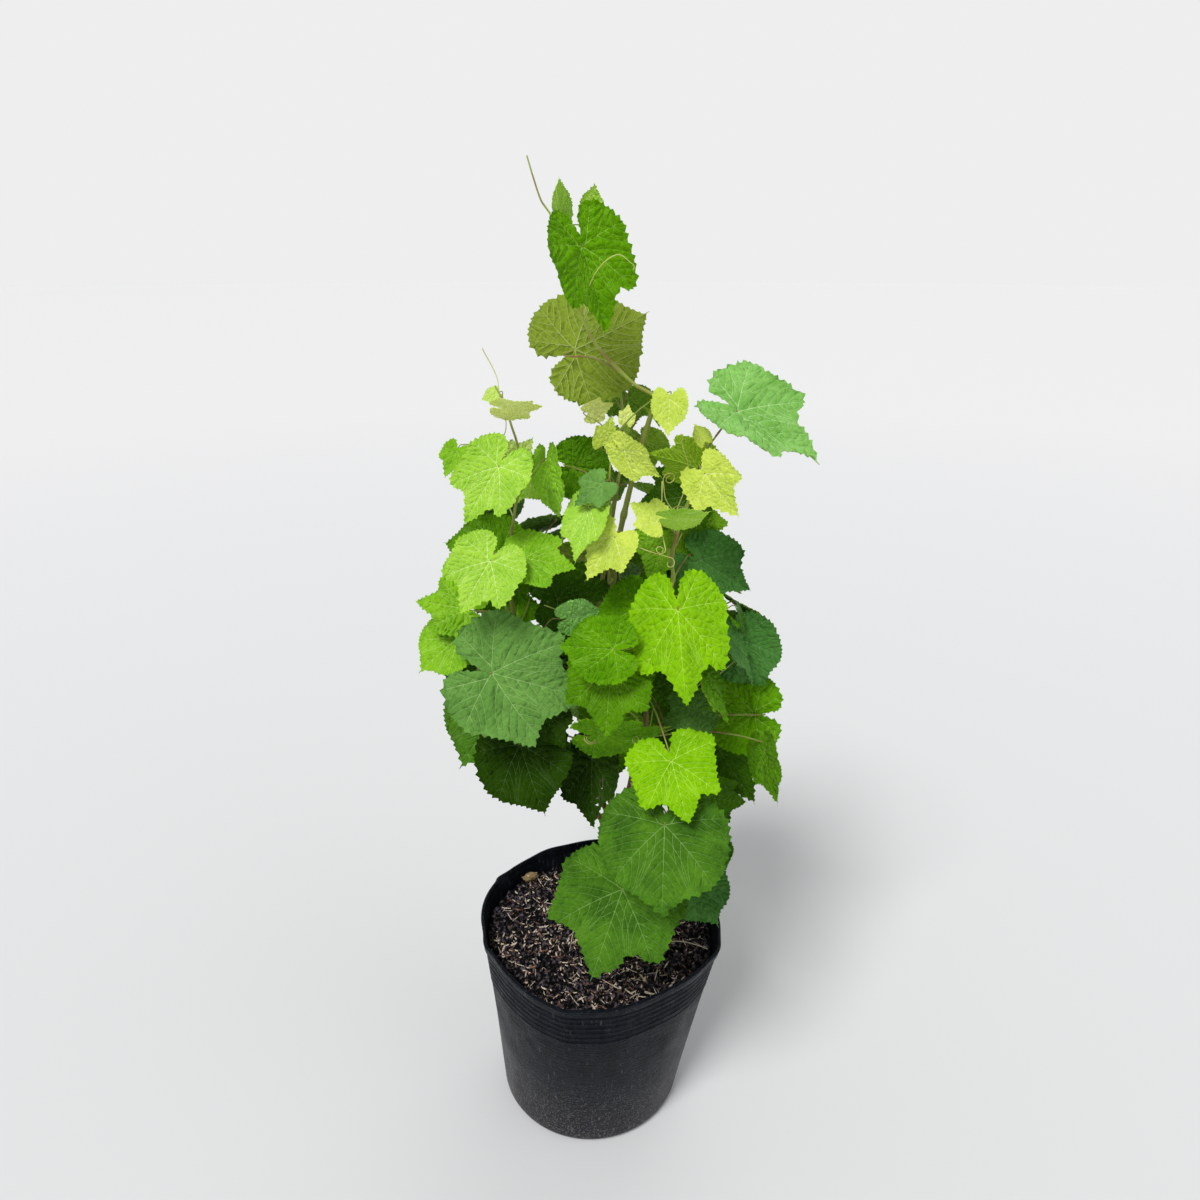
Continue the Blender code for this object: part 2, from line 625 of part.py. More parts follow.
def hidden_by_crown(leaf, frame):
    """True when a blade at the back stays inside the crown's outline and out of its gaps."""
    rim = [seen_at(frame @ point) for point in blade_points(leaf)]
    if any(covers(rim, sky_x, sky_z) for sky_x, sky_z, _ in SKY):
        return False
    return all(inside_outline(x, z) for x, z in rim)


def grown_frames(fill, route, index, rng):
    """Places for one leaf of the back: alternate sides, stalks of seeded length and turn."""
    side = 1 if index % 2 else -1
    share = (index + 0.6) / fill.count
    node = route[1 + round(share * (len(route) - 2))]
    for attempt in range(FILL_TRIES):
        size = fill.size * rng.uniform(0.75, 1.12) * (1.0 - FILL_SHRINK * attempt / FILL_TRIES)
        turn = math.radians(fill.facing + side * rng.uniform(0.1, 1.0) * FACING_SPREAD)
        out = Vector((math.cos(turn), math.sin(turn), 0.0))
        rise = rng.uniform(-0.2, 0.75)
        place = node + (out + UP * rise).normalized() * rng.uniform(*STALK_SHARE) * size * CM
        hang = math.radians(rng.uniform(*HANG))
        rib = out * math.cos(hang) - UP * math.sin(hang)
        face = out * math.sin(hang) + UP * math.cos(hang)
        roll = rng.uniform(-25, 25)
        leaf = Leaf(0, 0, 0, 0, 0, roll, size)
        yield leaf, frame_from(place, rib, face, roll)


def start_on(cane, route, height, towards):
    """A point and direction just clear of a cane's side, or of its tip."""
    if height is None:
        along = (route[-1] - route[-2]).normalized()
        return route[-1] + along * CLEAR, along
    index = min(range(1, len(route) - 1), key=lambda i: abs(seen_at(route[i])[1] - height))
    axis = (route[index + 1] - route[index - 1]).normalized()
    side = towards - route[index]
    side = (side - axis * side.dot(axis)).normalized()
    share = index / (len(route) - 1)
    radius = CANE_FOOT + (CANE_TIP - CANE_FOOT) * share
    return route[index] + side * (radius + CLEAR * 2.0), side


def united(target, scrap, solver):
    """The target joined to a collection by one Boolean union, as a bmesh."""
    union = target.modifiers.new("union", "BOOLEAN")
    union.operation = "UNION"
    union.operand_type = "COLLECTION"
    union.collection = scrap
    union.solver = solver
    bpy.context.view_layer.update()
    made = bpy.data.meshes.new_from_object(target.evaluated_get(bpy.context.evaluated_depsgraph_get()))
    target.modifiers.clear()
    bm = bmesh.new()
    bm.from_mesh(made)
    bpy.data.meshes.remove(made)
    main_shell_only(bm)
    return bm


def fuse(name, pieces, group):
    """Joins a mass, by MANIFOLD where EXACT leaves its surface open."""
    scrap = collection("pieces_of_" + name)
    target = mesh_object(name, pieces[0], group)
    for i, piece in enumerate(pieces[1:]):
        mesh_object("{}_{}".format(name, i), piece, scrap)
    for solver in ("EXACT", "MANIFOLD"):
        bm = united(target, scrap, solver)
        if all(edge.is_manifold for edge in bm.edges):
            break
    bm.to_mesh(target.data)
    bm.free()
    for obj in list(scrap.objects):
        bpy.data.objects.remove(obj, do_unlink=True)
    bpy.data.collections.remove(scrap)
    return target


def main_shell_only(bm):
    """Drops loose scraps and the walls of sealed hollows."""
    left = set(bm.verts)
    shells = []
    while left:
        queue = [left.pop()]
        shell = set(queue)
        while queue:
            for edge in queue.pop().link_edges:
                for vert in edge.verts:
                    if vert not in shell:
                        shell.add(vert)
                        queue.append(vert)
        left -= shell
        shells.append(shell)
    shells.sort(key=len)
    for shell in shells[:-1]:
        bmesh.ops.delete(bm, geom=list(shell), context="VERTS")


def set_places(mass, route):
    """For each leaf that is set from the front, its places."""
    for leaf in mass.leaves:
        yield sighted_frames(leaf)


def filled_places(name, fill, route):
    """For each leaf of the back, its places inside the crown's outline."""
    rng = random.Random(name)
    for index in range(fill.count):
        yield (
            (leaf, frame, 1.0)
            for leaf, frame in grown_frames(fill, route, index, rng)
            if hidden_by_crown(leaf, frame)
        )


def make_stem(name, mass, routes):
    """A mass's shoot, from 0.3 mm clear of its cane."""
    rest = [sighted(*place) for place in mass.shoot]
    start, heading = start_on(mass.cane, routes[mass.cane], mass.height, rest[0])
    route = growing_route(start, heading, rest, 2)
    foot = CANE_TIP if mass.height is None else STEM_FOOT
    return route, limb_mesh(route, taper(len(route), foot, STEM_TIP), 5)


def build_mass(name, mass, stems, taken, group, leaf_material):
    route, stem = stems[name]
    pieces = [stem]
    own = [sleeve_test(route, STEM_ROOM)]
    others = taken + [sleeve_test(stems[other][0], STEM_ROOM) for other in stems if other != name]
    leaves = filled_places(name, mass, route) if isinstance(mass, Fill) else set_places(mass, route)
    for places in leaves:
        found = place_leaf(places, route, own, others)
        if found:
            add_leaf(found, pieces, own)
    taken.extend(own[1:])
    made = fuse(name, pieces, group)
    made.data.materials.clear()
    made.data.materials.append(leaf_material)


def add_leaf(found, pieces, own):
    leaf, frame, scale, path = found
    thickness = max(BLADE, leaf.size * CM / 90.0)
    own += [blade_test(leaf, frame, scale), sleeve_test(path, STALK_ROOM)]
    pieces.append(blade_mesh(leaf, frame, scale, thickness))
    pieces.append(limb_mesh(path, taper(3, STALK_FOOT, STALK_TIP) + [STALK_END], 3))


# ---------------------------------------------------------------- the whole plant

def main():
    clear_scene()
    parts = collection("potted_grapevine")
    pot = make_pot(parts)
    soil = make_soil(parts)
    trunk = make_trunk(parts)
    taken = []
    for obj in (pot, soil, trunk):
        bm = bmesh.new()
        bm.from_mesh(obj.data)
        taken.append(tree_of(bm))
        bm.free()
    bark = material("cane_bark", (0.16, 0.10, 0.06), 0.8)
    leaf_material = material("vine_leaf", (0.10, 0.22, 0.05), 0.5)
    routes = {}
    for name in CANES:
        routes[name] = cane_route(name)
        bm = limb_mesh(routes[name], taper(len(routes[name]), CANE_FOOT, CANE_TIP), 8)
        taken.append(tree_of(bm))
        cane = mesh_object(name, bm, parts)
        cane.data.materials.append(bark)
    masses = {**MASSES, **FILLS}
    stems = {}
    for name, mass in masses.items():
        stems[name] = make_stem(name, mass, routes)
    for name, mass in masses.items():
        build_mass(name, mass, stems, taken, parts, leaf_material)


main()
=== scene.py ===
"""A young grapevine in a soft black nursery pot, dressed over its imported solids.

Metres, +Z up, the pot's underside on the floor and the front towards -Y.  Every leaf grows
by the rule of the part's source, written again here: a leaf set from the front is read on
the upright plane through the pot's rim, and the back is filled by a seeded rule.  The fine
blades, veins, stalks, tendrils, bark and potting mix are added in place of the plain solids.
"""

import json
import math
import random
from collections import namedtuple
from functools import partial

import bmesh
import bpy
from mathutils import Matrix, Vector, geometry, noise
from mathutils.bvhtree import BVHTree
from mathutils.kdtree import KDTree

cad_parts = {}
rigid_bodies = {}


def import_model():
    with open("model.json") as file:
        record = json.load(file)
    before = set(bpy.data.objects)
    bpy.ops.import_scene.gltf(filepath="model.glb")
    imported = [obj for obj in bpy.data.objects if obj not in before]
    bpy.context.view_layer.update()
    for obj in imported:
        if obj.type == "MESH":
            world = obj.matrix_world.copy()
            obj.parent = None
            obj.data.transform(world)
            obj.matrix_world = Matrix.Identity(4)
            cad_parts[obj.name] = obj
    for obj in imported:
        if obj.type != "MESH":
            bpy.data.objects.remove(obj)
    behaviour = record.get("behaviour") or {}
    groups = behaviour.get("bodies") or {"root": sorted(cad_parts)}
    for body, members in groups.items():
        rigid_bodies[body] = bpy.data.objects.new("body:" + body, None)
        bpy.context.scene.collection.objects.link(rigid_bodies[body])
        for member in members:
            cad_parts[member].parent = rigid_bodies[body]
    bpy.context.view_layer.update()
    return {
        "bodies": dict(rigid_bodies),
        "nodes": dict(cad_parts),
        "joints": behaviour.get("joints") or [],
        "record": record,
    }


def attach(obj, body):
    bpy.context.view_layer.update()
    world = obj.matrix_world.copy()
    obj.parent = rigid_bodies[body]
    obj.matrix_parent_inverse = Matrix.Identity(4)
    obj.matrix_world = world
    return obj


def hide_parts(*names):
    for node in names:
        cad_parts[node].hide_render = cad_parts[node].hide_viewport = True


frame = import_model()

CM = 0.01
MM = 0.001
UP = Vector((0.0, 0.0, 1.0))
CLEAR = 0.0003                # gap between neighbouring limbs

# Pot and potting mix
POT_HEIGHT = 0.240
RIM_RADIUS = 0.135
BASE_RADIUS = 0.106
BASE_ROUND = 0.008
WALL = 0.0016
LIP_FALL = 0.012
LIP_PROUD = 0.0022
LEAN_X = 0.012                # the soft pot leans this far to +X at its rim
SQUARENESS = 0.026            # how far the soft rim is pulled towards its corners
CORNER_COUNT = 4
CORNER_TURN = math.radians(-16)
RIM_DIP = 0.006               # the front of the rim sits this much lower than the back
SOIL_LEVEL = 0.214

# Trunk and canes
TRUNK_FOOT = 0.0165
TRUNK_RADIUS = 0.0100
TRUNK_WAIST = 0.12
TRUNK_BOW = Vector((0.004, -0.002, 0.0))
ROOT_LOBES = 0.16
HEAD_HEIGHT = 0.345
TRUNK_X = 0.008
TRUNK_Y = 0.004
HEAD_X = 0.019
CANE_FOOT = 0.0036
CANE_TIP = 0.0024
STEM_FOOT = 0.0024
STEM_TIP = 0.0011
SQUARE_START = 0.003
STALK_FOOT = 0.0012
STALK_TIP = 0.0008
STALK_STRAIGHT = 0.004        # a stalk runs straight into its notch for this long
STALK_UNDER = 0.001
STALK_SUNK = 0.002
STALK_ROOM = 0.0013           # limbs are tested this thick, so that they stay clear
STEM_ROOM = 0.0025
ROOT_BELOW = 0.01             # a stalk likes to leave its shoot this far below its blade
ROOT_PULL = 1.2               # how much it minds a place above that

# Leaves
NOTCH = 0.10                  # the stalk's notch reaches this far behind the midrib's foot
YOUNG = 3.4                   # a leaf with a midrib under this many cm is young, with one lobe
FOLD = 0.14
DROOP = 0.16
STEP_BACK = 0.9               # cm that a leaf which touches a neighbour is moved at a time
TRIES = 17
TEST_BLADE = 0.0034           # blades are tested this thick, so that they stay clear

# Front sighting point: places of leaves are read on the upright plane through the pot's rim
# centre, as seen from here.  The camera stands at it.
SIGHT = Vector((LEAN_X, -0.818, 0.957))

# x and z in cm on that plane, back in cm behind it (minus is in front), clock in degrees with
# 0 up and 90 to the right, lean in degrees with the tip towards the viewer, roll in degrees
# about the midrib (180 shows the underside), size = midrib in cm, tone = its colours,
# fold = lift of both halves, wide = breadth against the usual one.
Leaf = namedtuple(
    "Leaf", "x z back clock lean roll size tone fold wide shape", defaults=(FOLD, 1.0, ""))


def sighted(x, z, back):
    """The point `back` cm behind the axis plane on the line of sight through (x, z) of it."""
    on_plane = Vector((LEAN_X + x * CM, 0.0, z * CM))
    reach = (back * CM - SIGHT.y) / -SIGHT.y
    return SIGHT + (on_plane - SIGHT) * reach


def seen_at(point):
    """Where a point shows on the axis plane, in cm."""
    reach = -SIGHT.y / (point.y - SIGHT.y)
    on_plane = SIGHT + (point - SIGHT) * reach
    return (on_plane.x - LEAN_X) / CM, on_plane.z / CM


def soft_shape(co):
    """Leans the pot, squares its plan and dips its front, all growing with height."""
    share = co.z / POT_HEIGHT
    turn = math.atan2(co.y, co.x)
    pull = 1.0 + SQUARENESS * share * math.cos(CORNER_COUNT * (turn - CORNER_TURN))
    dip = RIM_DIP * share ** 3 * 0.5 * (co.y / RIM_RADIUS - 1.0)
    return Vector((co.x * pull + LEAN_X * share, co.y * pull, co.z + dip))


def wall_radius(z):
    return BASE_RADIUS + (RIM_RADIUS - BASE_RADIUS) * z / POT_HEIGHT


def smooth_route(points, per_span=3):
    """A smooth route through the points, whose pull at each one fits the span it leads into."""
    last = len(points) - 1
    headings = []
    for i in range(last + 1):
        headings.append((points[min(i + 1, last)] - points[max(i - 1, 0)]).normalized())
    headings[0] = (points[1] - points[0]).normalized()
    route = []
    for i in range(last):
        start, end = points[i], points[i + 1]
        pull = (end - start).length
        for step in range(per_span):
            t = step / per_span
            rise = t * t * (3 - 2 * t)
            leave = t * (1 - t) ** 2 * pull
            arrive = -t * t * (1 - t) * pull
            route.append(start.lerp(end, rise) + headings[i] * leave + headings[i + 1] * arrive)
    route.append(points[-1].copy())
    return route


def growing_route(start, heading, points, per_span):
    """A route that leaves its start square, so that its end face stays clear of what it meets."""
    straight = start + heading * SQUARE_START
    ahead = straight + heading * 2 * SQUARE_START
    return [start] + smooth_route([straight, ahead] + points, per_span)


def taper(count, foot, tip):
    return [foot + (tip - foot) * i / (count - 1) for i in range(count)]


# Each cane's route from the trunk's head: x, z, back in cm.
CANES = {
    "cane_left": [(-3.2, 42, 0.5), (-6.0, 51, 1.0), (-8.3, 59, 0.5), (-8.9, 63.5, 0.0)],
    "cane_leader": [
        (-0.3, 45, 2.2), (0.8, 58, 2.6), (1.6, 68, 1.8), (3.2, 76, 1.0), (4.9, 82.3, 0.0)],
    "cane_right": [
        (3.4, 42, -2.2), (4.8, 49, -3.6), (4.8, 55.5, -3.8), (6.4, 60.5, -2.0), (7.1, 64.5, -1.0)],
    "cane_back": [(-1.6, 45, 5.0), (-1.0, 57, 7.5), (0.5, 67, 8.0), (1.5, 74, 7.0)],
}
# Where each cane stands on the trunk's head, as shares of the head's radius.
STANDS = {
    "cane_left": (-0.55, -0.25),
    "cane_leader": (0.45, 0.35),
    "cane_right": (0.25, -0.60),
    "cane_back": (-0.30, 0.62),
}


def cane_route(name):
    across, away = STANDS[name]
    head_x = LEAN_X + HEAD_X + across * TRUNK_RADIUS
    stand = Vector((head_x, away * TRUNK_RADIUS, HEAD_HEIGHT + CLEAR))
    return growing_route(stand, UP, [sighted(*place) for place in CANES[name]], 4)


# ---------------------------------------------------------------- the rule of the leaves

def half_outline(young):
    """One half of a blade's outline as (degrees from the midrib, share of its length)."""
    if young:
        return [(38, 0.66), (78, 0.52), (135, 0.44)]
    return [(23, 0.72), (46, 0.76), (88, 0.56), (135, 0.52), (164, 0.40)]


def blade_points(leaf):
    """The blade's outline in its own frame: x along the midrib, z out of its upper face."""
    young = leaf.size < YOUNG
    half = half_outline(young)
    polar = [(0, 1.0)] + half + [(180, NOTCH)]
    polar += [(-turn, share) for turn, share in reversed(half)]
    points = []
    for turn, share in polar:
        x = math.cos(math.radians(turn)) * share
        y = math.sin(math.radians(turn)) * share * leaf.wide
        z = leaf.fold * abs(y) - DROOP * (x * x + 0.5 * y * y)
        points.append(Vector((x, y, z)) * leaf.size * CM)
    return points


def blade_test(leaf, frame, scale):
    """A search tree of a blade that is rather thicker than the real one."""
    flat = [Vector()] + [point * scale for point in blade_points(leaf)]
    lift = Vector((0.0, 0.0, TEST_BLADE / 2))
    points = [frame @ (point + level) for level in (lift, -lift) for point in flat]
    below = len(flat)
    faces = []
    for i in range(1, below):
        j = i % (below - 1) + 1
        faces += [(0, i, j), (below, below + j, below + i), (i, below + i, below + j, j)]
    return BVHTree.FromPolygons(points, faces)


def frame_from(place, rib, face, roll):
    turned_face = Matrix.Rotation(math.radians(roll), 3, rib) @ face
    side = turned_face.cross(rib)
    axes = Matrix((rib, side, turned_face)).transposed().to_4x4()
    return Matrix.Translation(place) @ axes


def sighted_frame(leaf, back):
    """The frame of a leaf placed from the front, and its scale at that depth."""
    place = sighted(leaf.x, leaf.z, back)
    ahead = (place - SIGHT).normalized()
    right = ahead.cross(UP).normalized()
    above = right.cross(ahead)
    clock, lean = math.radians(leaf.clock), math.radians(leaf.lean)
    in_view = right * math.sin(clock) + above * math.cos(clock)
    rib = in_view * math.cos(lean) - ahead * math.sin(lean)
    face = -(ahead * math.cos(lean) + in_view * math.sin(lean))
    return frame_from(place, rib, face, leaf.roll), (back * CM - SIGHT.y) / -SIGHT.y


def stalk_route(root, bow, leaf, frame, scale):
    """A stalk from its root to the notch of its blade, and 2 mm on inside the blade."""
    notch = NOTCH * leaf.size * CM * scale
    arrive = frame @ Vector((-notch - STALK_STRAIGHT, 0.0, -STALK_UNDER))
    inside = frame @ Vector((STALK_SUNK - notch, 0.0, 0.0))
    middle = root.lerp(arrive, 0.5) + bow * (arrive - root).length
    return [root, root * 0.25 + middle * 0.5 + arrive * 0.25, arrive, inside]


def best_root(route, end):
    """The place on a shoot that a leaf's stalk comes from: near, and rather below it."""
    def cost(place):
        return (place - end).length + ROOT_PULL * max(0.0, place.z - end.z + ROOT_BELOW)
    return min(route[3:], key=cost)


def touches(tree, taken):
    return any(tree.overlap(other) for other in taken)


def sleeve_test(path, radius):
    """A search tree of a four-sided sleeve that clears a limb of this radius."""
    across = (path[-1] - path[0]).orthogonal()
    points = []
    for i, place in enumerate(path):
        along = (path[min(i + 1, len(path) - 1)] - path[max(i - 1, 0)]).normalized()
        side = (across - along * across.dot(along)).normalized() * radius * math.sqrt(2)
        points += [place + Matrix.Rotation(i * math.pi / 2, 3, along) @ side for i in range(4)]
    faces = []
    for start in range(0, len(points) - 4, 4):
        for i in range(4):
            j = (i + 1) % 4
            faces.append((start + i, start + j, start + 4 + j, start + 4 + i))
    return BVHTree.FromPolygons(points, faces)


def stalk_clear(path, taken):
    return not touches(sleeve_test(path, STALK_ROOM), taken)


# Ways that a leaf stalk may bend, as shares of its length, the natural one first.
BOWS = [
    (0, 0, 0.16), (0.12, 0, 0.05), (-0.12, 0, 0.05), (0, 0, 0.3), (0.1, 0, -0.08), (-0.25, 0, 0.2),
]


def place_leaf(places, route, own, taken):
    """Tries the places in turn until blade and stalk touch nothing, and returns that one."""
    for leaf, frame, scale in places:
        if touches(blade_test(leaf, frame, scale), taken + own):
            continue
        root = best_root(route, frame.translation)
        for bow in BOWS:
            path = stalk_route(root, Vector(bow), leaf, frame, scale)
            free_run = [root.lerp(path[1], 0.2), path[1], path[1].lerp(path[2], 0.95)]
            if stalk_clear(path, taken) and stalk_clear(free_run, own[1:]):
                return leaf, frame, scale, path
    return None


def sighted_frames(leaf):
    for i in range(TRIES):
        side = 1 if i % 2 else -1
        shift = side * ((i + 1) // 2) * STEP_BACK
        yield (leaf, *sighted_frame(leaf, leaf.back + shift))


# ---------------------------------------------------------------- the masses of foliage

# Each mass: the cane it grows from, the height in cm where it meets it (None at the tip),
# the rest of its shoot, and its leaves.
Mass = namedtuple("Mass", "cane height shoot leaves")

MASSES = {
    "crown_top": Mass("cane_leader", None, [
        (3.3, 84.2, 0), (0.3, 87, -0.5), (-0.9, 88.7, -0.5), (-2.6, 92.5, -0.5), (-3.5, 95.7, -0.5),
        (-4.1, 98.3, -0.5), (-5.0, 99.6, -0.5), (-6.1, 103.0, -0.5),
    ], [
        Leaf(-3.5, 98.0, -1.0, 8, 0, 68, 3.6, "spring"),
        Leaf(-0.9, 98.4, 1.0, 15, 0, 30, 2.6, "spring"),
        Leaf(-1.5, 96.0, -1.5, 160, 5, -30, 7.6, "bright", 0.35, 0.82, "lobed"),
        Leaf(-2.3, 87.3, 3.0, 66, -20, 165, 8.0, "olive", shape="round"),
    ]),
    "middle_top": Mass("cane_leader", 66, [(1.0, 72.5, -1.5), (0.9, 75.8, -1.5), (1.2, 79.5, -1)], [
        Leaf(-0.9, 81.8, 0.0, 75, 0, 35, 2.4, "cream"),
        Leaf(0.4, 79.0, -2.0, 20, 10, 25, 2.6, "yellow"),
        Leaf(2.4, 81.0, -1.0, 10, 0, 20, 1.6, "cream"),
        Leaf(6.4, 83.0, -1.5, 182, 25, 0, 3.5, "yellow", shape="young"),
        Leaf(2.2, 78.2, -3.0, 130, 20, 40, 4.4, "yellow", 0.14, 0.8),
        Leaf(-2.6, 76.7, 4.0, 100, -10, 10, 4.6, "mid", shape="round"),
        Leaf(0.2, 75.0, -3.0, 235, 10, 20, 3.4, "grey", shape="young_lobed"),
        Leaf(-1.0, 72.7, -4.0, 200, 20, 30, 5.6, "spring", 0.14, 0.7, "heart"),
        Leaf(1.4, 69.7, -5.0, 215, 10, 10, 5.0, "yellow", shape="young_lobed"),
    ]),
    "right_top": Mass("cane_right", None, [
        (7.1, 68.2, -1), (7.9, 71.5, -1), (8.6, 73.8, -1), (9.3, 76, -1), (10.2, 78.6, -1),
        (11.9, 81.1, -1),
    ], [
        Leaf(12.7, 81.9, -1.5, 113, 0, -52, 8.8, "silver", 0.35, 0.95, "lobed"),
        Leaf(9.7, 79.2, -1.5, 330, 0, 20, 1.8, "yellow"),
        Leaf(12.6, 80.5, -4.0, 120, 10, 20, 1.6, "cream"),
        Leaf(9.9, 76.0, -3.0, 142, 15, 15, 5.2, "yellow", shape="young_lobed"),
        Leaf(9.2, 76.6, 1.0, 290, 0, 140, 4.8, "lime"),
        Leaf(8.4, 73.8, 1.5, 262, 0, 10, 5.2, "dark"),
        Leaf(5.6, 71.3, -4.0, 305, 0, 15, 3.4, "yellow", shape="young_lobed"),
        Leaf(7.1, 71.7, -4.5, 88, 10, 66, 3.7, "spring"),
        Leaf(9.8, 67.4, 2.0, 120, 0, 0, 5.8, "blue", shape="heart"),
        Leaf(8.7, 71.0, 4.0, 128, 0, 10, 4.4, "fresh"),
        Leaf(6.9, 70.2, 1.0, 205, 10, 10, 5.4, "fresh"),
        Leaf(7.1, 65.8, 3.5, 258, 0, 20, 4.4, "dark"),
    ]),
    "left_upper": Mass("cane_left", None, [
        (-8.6, 70, 0), (-7.5, 77.2, 0), (-8.2, 80.5, 0), (-8.9, 82.8, 0), (-9.6, 84.2, 0),
    ], [
        Leaf(-9.5, 83.5, 0.0, 250, 0, 20, 1.5, "pale"),
        Leaf(-8.6, 82.2, -0.5, 95, 0, 68, 3.7, "cream"),
        Leaf(-9.6, 76.7, -3.0, 216, 5, 18, 6.4, "spring", 0.18, 0.85, "lobed"),
        Leaf(-13.4, 78.2, 1.0, 212, 0, 30, 2.8, "fresh"),
        Leaf(-8.3, 77.0, 1.5, 45, 0, 20, 3.2, "pale"),
        Leaf(-7.9, 76.2, -1.5, 140, 10, 20, 3.8, "spring"),
        Leaf(-4.9, 76.6, 1.0, 176, 0, 66, 5.3, "fresh", shape="round"),
    ]),
    "left_middle": Mass("cane_left", 60, [
        (-9.6, 63.0, -2.5), (-10.6, 65.0, -3.5), (-11.6, 66.0, -4),
    ], [
        Leaf(-7.4, 67.6, -4.0, 100, 10, -34, 5.2, "fresh", shape="lobed"),
        Leaf(-10.8, 67.3, -6.0, 214, 10, 10, 6.0, "spring", shape="lobed"),
        Leaf(-9.8, 68.2, -1.0, 285, 0, 20, 5.8, "mid", shape="round"),
        Leaf(-13.6, 62.2, -2.0, 285, 0, 15, 5.0, "fresh"),
        Leaf(-8.0, 64.1, 2.5, 292, 0, 20, 6.2, "bright"),
        Leaf(-14.6, 58.9, -3.0, 236, 5, 30, 5.2, "fresh"),
    ]),
    "left_back": Mass("cane_left", 56, [(-6.0, 59.5, 3.0), (-4.6, 61.5, 4.5)], [
        Leaf(-4.2, 63.2, 4.5, 80, 0, 25, 6.0, "dark"),
        Leaf(-3.4, 62.4, 2.0, 208, 0, 20, 4.2, "dark"),
        Leaf(-3.0, 61.2, 0.0, 80, 0, 35, 3.4, "silver"),
    ]),
    "left_lower": Mass("cane_left", 49, [(-7.5, 51.0, -2.5), (-9.5, 52.6, -4.0)], [
        Leaf(-11.2, 55.0, -6.5, 109, 5, 5, 11.0, "grey", 0.2, 0.92, "lobed"),
        Leaf(-10.5, 51.2, -3.0, 218, 10, 15, 7.8, "moss", shape="round"),
        Leaf(-8.6, 46.5, -2.0, 166, 10, 20, 8.2, "deep", shape="round"),
        Leaf(-6.3, 50.5, -1.5, 150, 0, 15, 4.8, "deep"),
        Leaf(-0.9, 44.8, 0.5, 184, 10, 36, 7.4, "deep", 0.14, 0.88, "eaten"),
    ]),
    "centre_front": Mass("cane_right", 54, [(4.6, 56.5, -6.5), (4.9, 59.0, -8.0)], [
        Leaf(7.8, 62.1, -9.5, 173, 10, 0, 9.8, "lime", -0.6, 0.82, "lobed"),
        Leaf(4.0, 62.6, -6.0, 200, 10, 32, 7.0, "bright", shape="heart"),
        Leaf(1.4, 57.7, -10.0, 272, 0, -10, 6.0, "bright", 0.14, 0.92, "round"),
        Leaf(1.2, 55.6, -8.0, 186, 10, 5, 7.2, "mid", shape="lobed"),
        Leaf(0.0, 47.7, -9.0, 93, 0, 66, 7.4, "bright", shape="lobed"),
        Leaf(7.7, 44.5, -11.0, 163, 15, 0, 7.4, "lime", shape="palmate"),
    ]),
    "right_middle": Mass("cane_right", 47, [(8.0, 51.0, -1.5), (10.6, 54.0, 0)], [
        Leaf(14.2, 58.8, 2.0, 150, 0, 10, 5.8, "blue", shape="round"),
        Leaf(11.4, 57.6, 4.5, 110, 0, 15, 4.6, "dark"),
        Leaf(16.3, 50.2, -0.5, 268, 0, 5, 6.6, "bright", shape="round"),
        Leaf(5.7, 53.0, 3.5, 100, 0, 15, 4.8, "dark"),
        Leaf(10.3, 50.5, -3.0, 250, 0, 20, 4.4, "grey"),
        Leaf(11.0, 48.9, -1.0, 148, 5, 28, 9.6, "dark", shape="lobed"),
        Leaf(17.6, 45.6, 1.0, 168, 0, 60, 5.6, "mid"),
        Leaf(12.0, 39.8, 1.0, 96, 0, 20, 4.4, "dark"),
        Leaf(2.0, 49.6, 2.5, 184, 0, 12, 6.6, "mid"),
    ]),
    "low_front": Mass("cane_right", 42.5, [(4.6, 41.0, -5.5), (5.2, 39.0, -9.0)], [
        Leaf(7.2, 36.2, -13.0, 180, 10, 0, 10.4, "moss", 0.08, 1.05, "round"),
        Leaf(2.6, 27.3, -12.0, 200, 0, 3, 10.4, "moss", 0.1, 1.12, "lobed"),
        Leaf(10.3, 29.2, -8.0, 150, 5, 20, 6.4, "blue", shape="round"),
        Leaf(12.5, 33.6, -4.0, 150, 0, 20, 3.5, "moss"),
    ]),
}


# The back of the crown: the cane, the height in cm where the mass meets it, the rest of its
# shoot, the compass turn that its leaves face (90 is straight back), how many, and their size.
Fill = namedtuple("Fill", "cane height shoot facing count size")

FILLS = {
    "back_top": Fill(
        "cane_back", None, [(2.2, 79, 7.0), (1.6, 85, 7.5), (0.0, 89, 7.5)], 90, 7, 5.0),
    "back_left": Fill("cane_back", 66, [(-3.5, 68.0, 9), (-8.0, 70.5, 8.5)], 130, 7, 6.6),
    "back_right": Fill("cane_back", 63, [(4.5, 64.5, 9.5), (9.0, 66.5, 8.0)], 50, 7, 6.8),
    "back_low_left": Fill("cane_back", 54, [(-5.0, 53.5, 9), (-10.0, 54.5, 8.0)], 140, 8, 8.2),
    "back_low_right": Fill("cane_back", 51, [(4.0, 50.0, 8.5), (9.5, 51.0, 8.0)], 40, 8, 8.2),
    "side_left": Fill("cane_left", 53, [(-8.5, 53.5, 2.5), (-11.0, 56.5, 3.0)], 185, 6, 7.0),
    "side_right": Fill("cane_right", 57.5, [(8.5, 58.0, 1.5), (11.5, 61.5, 2.0)], -5, 6, 7.0),
}
ALL_MASSES = {**MASSES, **FILLS}
FACING_SPREAD = 62            # degrees to either side of that turn
SIZE_SPREAD = (0.75, 1.12)    # as shares of that size
RISE_SPREAD = (-0.2, 0.75)    # how steeply stalks rise
ROLL_SPREAD = (-25, 25)
STALK_SHARE = (0.45, 1.15)    # leaf stalks, as shares of their leaf's midrib
HANG = (28, 62)               # degrees that a midrib hangs below level
FILL_TRIES = 400
